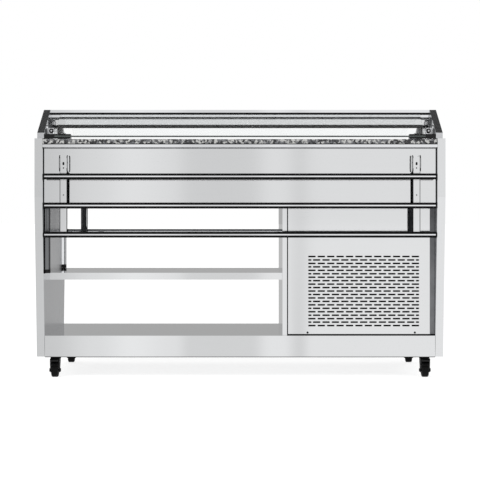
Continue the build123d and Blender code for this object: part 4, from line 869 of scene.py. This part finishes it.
class BUFFET_OT_casters(bpy.types.Operator):
    """Make the caster wheels with tyre and hub, and their hoods, and finish the forks"""

    bl_idname = "buffet.casters"
    bl_label = "Casters"

    def execute(self, context):
        dress("dark paint", "caster_plates", *[f"{corner}_caster_fork" for corner in CORNERS])
        dress("black plastic", "left_brake_pedal", "right_brake_pedal")
        for corner in CORNERS:
            low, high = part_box(f"{corner}_caster_wheel")
            centre = (low + high) / 2
            radius, half = (high.z - low.z) / 2, (high.x - low.x) / 2
            bore, boss, rim = 4.05 * MM, 8.5 * MM, radius - 7 * MM
            web, face, lip = half - 4.5 * MM, half - 0.5 * MM, half - 0.3 * MM
            # Right halves: a tyre with rounded shoulders, and a hub with boss, web and lip.
            tyre = [(half, rim), (half, radius - 4 * MM), (half - 2 * MM, radius - 1 * MM),
                    (half - 5 * MM, radius)]
            hub = [(face, bore), (face, boss), (web, boss + 1 * MM), (web, rim - 3 * MM),
                   (lip, rim - 2 * MM), (lip, rim)]
            shells = [turned([(-x, r) for x, r in right] + right[::-1], centre, "X", mark)
                      for mark, right in enumerate((tyre, hub))]
            shell_piece(f"{corner}_wheel", shells, ("black rubber", "black plastic"),
                        f"{corner}_wheel", (f"{corner}_caster_wheel",), 35)
            self.hood(corner, centre, radius, half)
        return {"FINISHED"}

    def hood(self, corner, centre, radius, half):
        """The moulded hood between the fork legs, an arc over the top of the wheel."""
        inner = radius + sizes().hood_gap
        outer = inner + sizes().hood_wall
        first, arc, steps = math.radians(40), math.radians(100), 24
        sections = []
        for i in range(steps + 1):
            angle = first + arc * i / steps
            sections.append([centre + Vector((x, r * math.cos(angle), r * math.sin(angle)))
                             for x, r in ((-half, inner), (half, inner),
                                          (half, outer), (-half, outer))])
        shell_piece(f"{corner}_wheel_hood", [swept(sections)], ("black plastic",),
                    f"{corner}_swivel", smooth=35)


class BUFFET_OT_machine(bpy.types.Operator):
    """Finish the condensing unit, the drain and the controls"""

    bl_idname = "buffet.machine"
    bl_label = "Machine bay"

    def execute(self, context):
        dress("dark enamel", "condenser", "compressor", "fan_motor")
        dress("galvanised steel", "unit_base", "fan_shroud", "control_box")
        dress("black rubber", "refrigerant_lines")
        dress("pipe plastic", "drain_pipe")
        dress("red paint", "drain_lever")
        dress("black plastic", "fan_blades", "power_switch", "thermostat_knob", "power_inlet")
        return {"FINISHED"}


# Sideways slopes of the soft grey panels on the studio's front wall, with the tone at each.
PANEL_TONES = (
    (-0.27, 0.72), (-0.125, 0.78), (-0.095, 0.96), (-0.07, 1.08), (-0.043, 1), (-0.032, 0.86),
    (0.007, 0.86), (0.02, 1.04), (0.028, 1.04), (0.039, 0.86), (0.047, 1.02), (0.1, 1.02))


def panel_tone(tree, slope):
    """Tone of the front wall in the direction of a sideways slope."""
    first, reach = -0.3, 0.4
    place = add(tree, "ShaderNodeMapRange", {
        "Value": slope, "From Min": first, "From Max": first + reach})
    tones = add(tree, "ShaderNodeValToRGB", {"Fac": place}, [
        ((at - first) / reach, (tone, tone, tone, 1)) for at, tone in PANEL_TONES])
    tones.color_ramp.interpolation = "EASE"
    return tones


class BUFFET_OT_stage(bpy.types.Operator):
    """Set up floor, light and camera"""

    bl_idname = "buffet.stage"
    bl_label = "Stage"

    def execute(self, context):
        scene = context.scene
        scene.view_settings.view_transform = "Standard"
        self.make_camera(scene)
        self.make_world(scene)
        self.make_floor(scene)
        self.make_cards(scene)
        self.make_lamps(scene)
        return {"FINISHED"}

    def make_camera(self, scene):
        """Level camera at the front, with the horizon above the middle of the picture."""
        distance, eye_height = 6.12, 0.631
        # Pixels along a side of the picture, and from its middle up to the horizon.
        picture, horizon = 480, 30.5
        data = bpy.data.cameras.new("camera")
        data.lens = 116.1
        data.sensor_width = 36
        data.shift_y = -horizon / picture
        data.clip_end = 200
        camera = bpy.data.objects.new("camera", data)
        camera.location = (0, -distance, eye_height)
        camera.rotation_euler = (math.radians(90), 0, 0)
        scene.collection.objects.link(camera)
        scene.camera = camera

    def make_world(self, scene):
        """White for the eye; for reflections a panelled front wall and a dark ceiling."""
        world = bpy.data.worlds.new("studio")
        scene.world = world
        world.use_nodes = True
        tree = world.node_tree
        tree.nodes.clear()
        ray = add(tree, "ShaderNodeTexCoord").outputs["Generated"]
        way = add(tree, "ShaderNodeSeparateXYZ", {"Vector": ray}).outputs
        behind = add(tree, "ShaderNodeMapRange", {
            "Value": way["Y"], "From Min": -0.2, "From Max": 0.5},
            interpolation_type="SMOOTHSTEP")
        ceiling = add(tree, "ShaderNodeMapRange", {
            "Value": way["Z"], "From Min": 0.56, "From Max": 0.68, "To Min": 0.94, "To Max": 0},
            interpolation_type="SMOOTHSTEP")
        walls = add(tree, "ShaderNodeMix", {
            "Factor": behind, "A": panel_tone(tree, way["X"]), "B": 0.4})
        sky = add(tree, "ShaderNodeMath", {0: walls, 1: ceiling, 2: 0.05},
                  operation="MULTIPLY_ADD")
        soft = add(tree, "ShaderNodeBackground", {"Color": (0.8, 0.8, 0.8, 1), "Strength": 1})
        seen = add(tree, "ShaderNodeBackground", {"Color": (1, 1, 1, 1), "Strength": 1})
        mirrored = add(tree, "ShaderNodeBackground", {"Color": sky, "Strength": 1})
        path = add(tree, "ShaderNodeLightPath").outputs
        glossy = add(tree, "ShaderNodeMixShader", {0: path["Is Glossy Ray"], 1: soft, 2: mirrored})
        eye = add(tree, "ShaderNodeMath", {
            0: path["Is Camera Ray"], 1: path["Is Transmission Ray"]}, operation="MAXIMUM")
        both = add(tree, "ShaderNodeMixShader", {0: eye, 1: glossy, 2: seen})
        add(tree, "ShaderNodeOutputWorld", {"Surface": both})

    def make_floor(self, scene):
        """Pale floor that keeps a soft shadow."""
        material, tree, place = begin("pale floor")
        surface = add(tree, "ShaderNodeBsdfPrincipled", {
            "Base Color": (0.4, 0.4, 0.4, 1), "Roughness": 0.9,
            "Emission Color": (1, 1, 1, 1), "Emission Strength": 0.76})
        # For reflections, the wall's panels run on over the floor in front, and it is mid grey
        # behind the table. The panels fan out from a point this far behind the middle.
        fan = 5.43
        where = add(tree, "ShaderNodeSeparateXYZ", {"Vector": place}).outputs
        away = add(tree, "ShaderNodeMath", {0: fan, 1: where["Y"]}, operation="SUBTRACT")
        slope = add(tree, "ShaderNodeMath", {0: where["X"], 1: away}, operation="DIVIDE")
        behind = add(tree, "ShaderNodeMapRange", {
            "Value": where["Y"], "From Min": -0.3, "From Max": 0.2},
            interpolation_type="SMOOTHSTEP")
        tone = add(tree, "ShaderNodeMix", {
            "Factor": behind, "A": panel_tone(tree, slope), "B": 0.48})
        mirrored = add(tree, "ShaderNodeEmission", {"Color": tone, "Strength": 1.05})
        glossy = add(tree, "ShaderNodeLightPath").outputs["Is Glossy Ray"]
        both = add(tree, "ShaderNodeMixShader", {0: glossy, 1: surface, 2: mirrored})
        add(tree, "ShaderNodeOutputMaterial", {"Surface": both})
        reach = 60
        self.make_sheet(scene, "floor", material, (-reach, reach), (-reach, reach), 0)

    def make_cards(self, scene):
        """Black cards above and below each front tray tube, which only reflections see."""
        material, tree, _ = begin("black card")
        surface = add(tree, "ShaderNodeBsdfPrincipled", {
            "Base Color": (0.01, 0.01, 0.01, 1), "Roughness": 1})
        add(tree, "ShaderNodeOutputMaterial", {"Surface": surface})
        low, high, _, heights = tray_tubes("front")
        middle, rise = (low.y + high.y) / 2, 13 * MM
        depth = (middle - 33 * MM, middle + 10 * MM)
        for i, height in enumerate(heights):
            for name, z in (("upper", height + rise), ("lower", height - rise)):
                card = self.make_sheet(
                    scene, f"{name}_card_{i}", material, (low.x, high.x), depth, z)
                for ray in ("camera", "diffuse", "transmission", "volume_scatter", "shadow"):
                    setattr(card, f"visible_{ray}", False)

    def make_sheet(self, scene, name, material, x, y, z):
        """A flat rectangle of the stage."""
        mesh = bpy.data.meshes.new(name)
        corners = [(x[0], y[0], z), (x[1], y[0], z), (x[1], y[1], z), (x[0], y[1], z)]
        mesh.from_pydata(corners, [], [(0, 1, 2, 3)])
        mesh.materials.append(material)
        sheet = bpy.data.objects.new(name, mesh)
        scene.collection.objects.link(sheet)
        return sheet

    def make_lamps(self, scene):
        """One broad key light from the front left and a fill from the right."""
        aim = Vector((0, 0, 0.5))
        for name, place, power in (("key", (-2.6, -4, 3.6), 130), ("fill", (3.4, -3.6, 2.4), 50)):
            data = bpy.data.lights.new(name, "AREA")
            data.energy = power
            data.shape = "SQUARE"
            data.size = 2.6
            lamp = bpy.data.objects.new(name, data)
            lamp.location = place
            lamp.rotation_euler = (aim - Vector(place)).to_track_quat("-Z", "Y").to_euler()
            lamp.visible_glossy = False
            scene.collection.objects.link(lamp)


STEPS = (
    BUFFET_OT_sheet_metal,
    BUFFET_OT_counter,
    BUFFET_OT_well,
    BUFFET_OT_canopy,
    BUFFET_OT_light,
    BUFFET_OT_columns,
    BUFFET_OT_tray_slides,
    BUFFET_OT_service_screws,
    BUFFET_OT_casters,
    BUFFET_OT_machine,
    BUFFET_OT_stage,
)


class BUFFET_PT_panel(bpy.types.Panel):
    """Sizes, colours and steps of the buffet table"""

    bl_label = "Buffet table"
    bl_idname = "BUFFET_PT_panel"
    bl_space_type = "VIEW_3D"
    bl_region_type = "UI"
    bl_category = "Buffet"

    def draw(self, context):
        for group in (context.scene.buffet_sizes, context.scene.buffet_colours):
            box = self.layout.box()
            for key in group.bl_rna.properties.keys():
                if key not in ("rna_type", "name"):
                    box.prop(group, key)
        for step in STEPS:
            self.layout.operator(step.bl_idname)


CLASSES = (BuffetSizes, BuffetColours, *STEPS, BUFFET_PT_panel)


def register():
    for item in CLASSES:
        bpy.utils.register_class(item)
    bpy.types.Scene.buffet_sizes = bpy.props.PointerProperty(type=BuffetSizes)
    bpy.types.Scene.buffet_colours = bpy.props.PointerProperty(type=BuffetColours)


def unregister():
    del bpy.types.Scene.buffet_colours
    del bpy.types.Scene.buffet_sizes
    for item in reversed(CLASSES):
        bpy.utils.unregister_class(item)


def main():
    register()
    for step in STEPS:
        group, name = step.bl_idname.split(".")
        getattr(getattr(bpy.ops, group), name)()


if __name__ == "__main__":
    main()
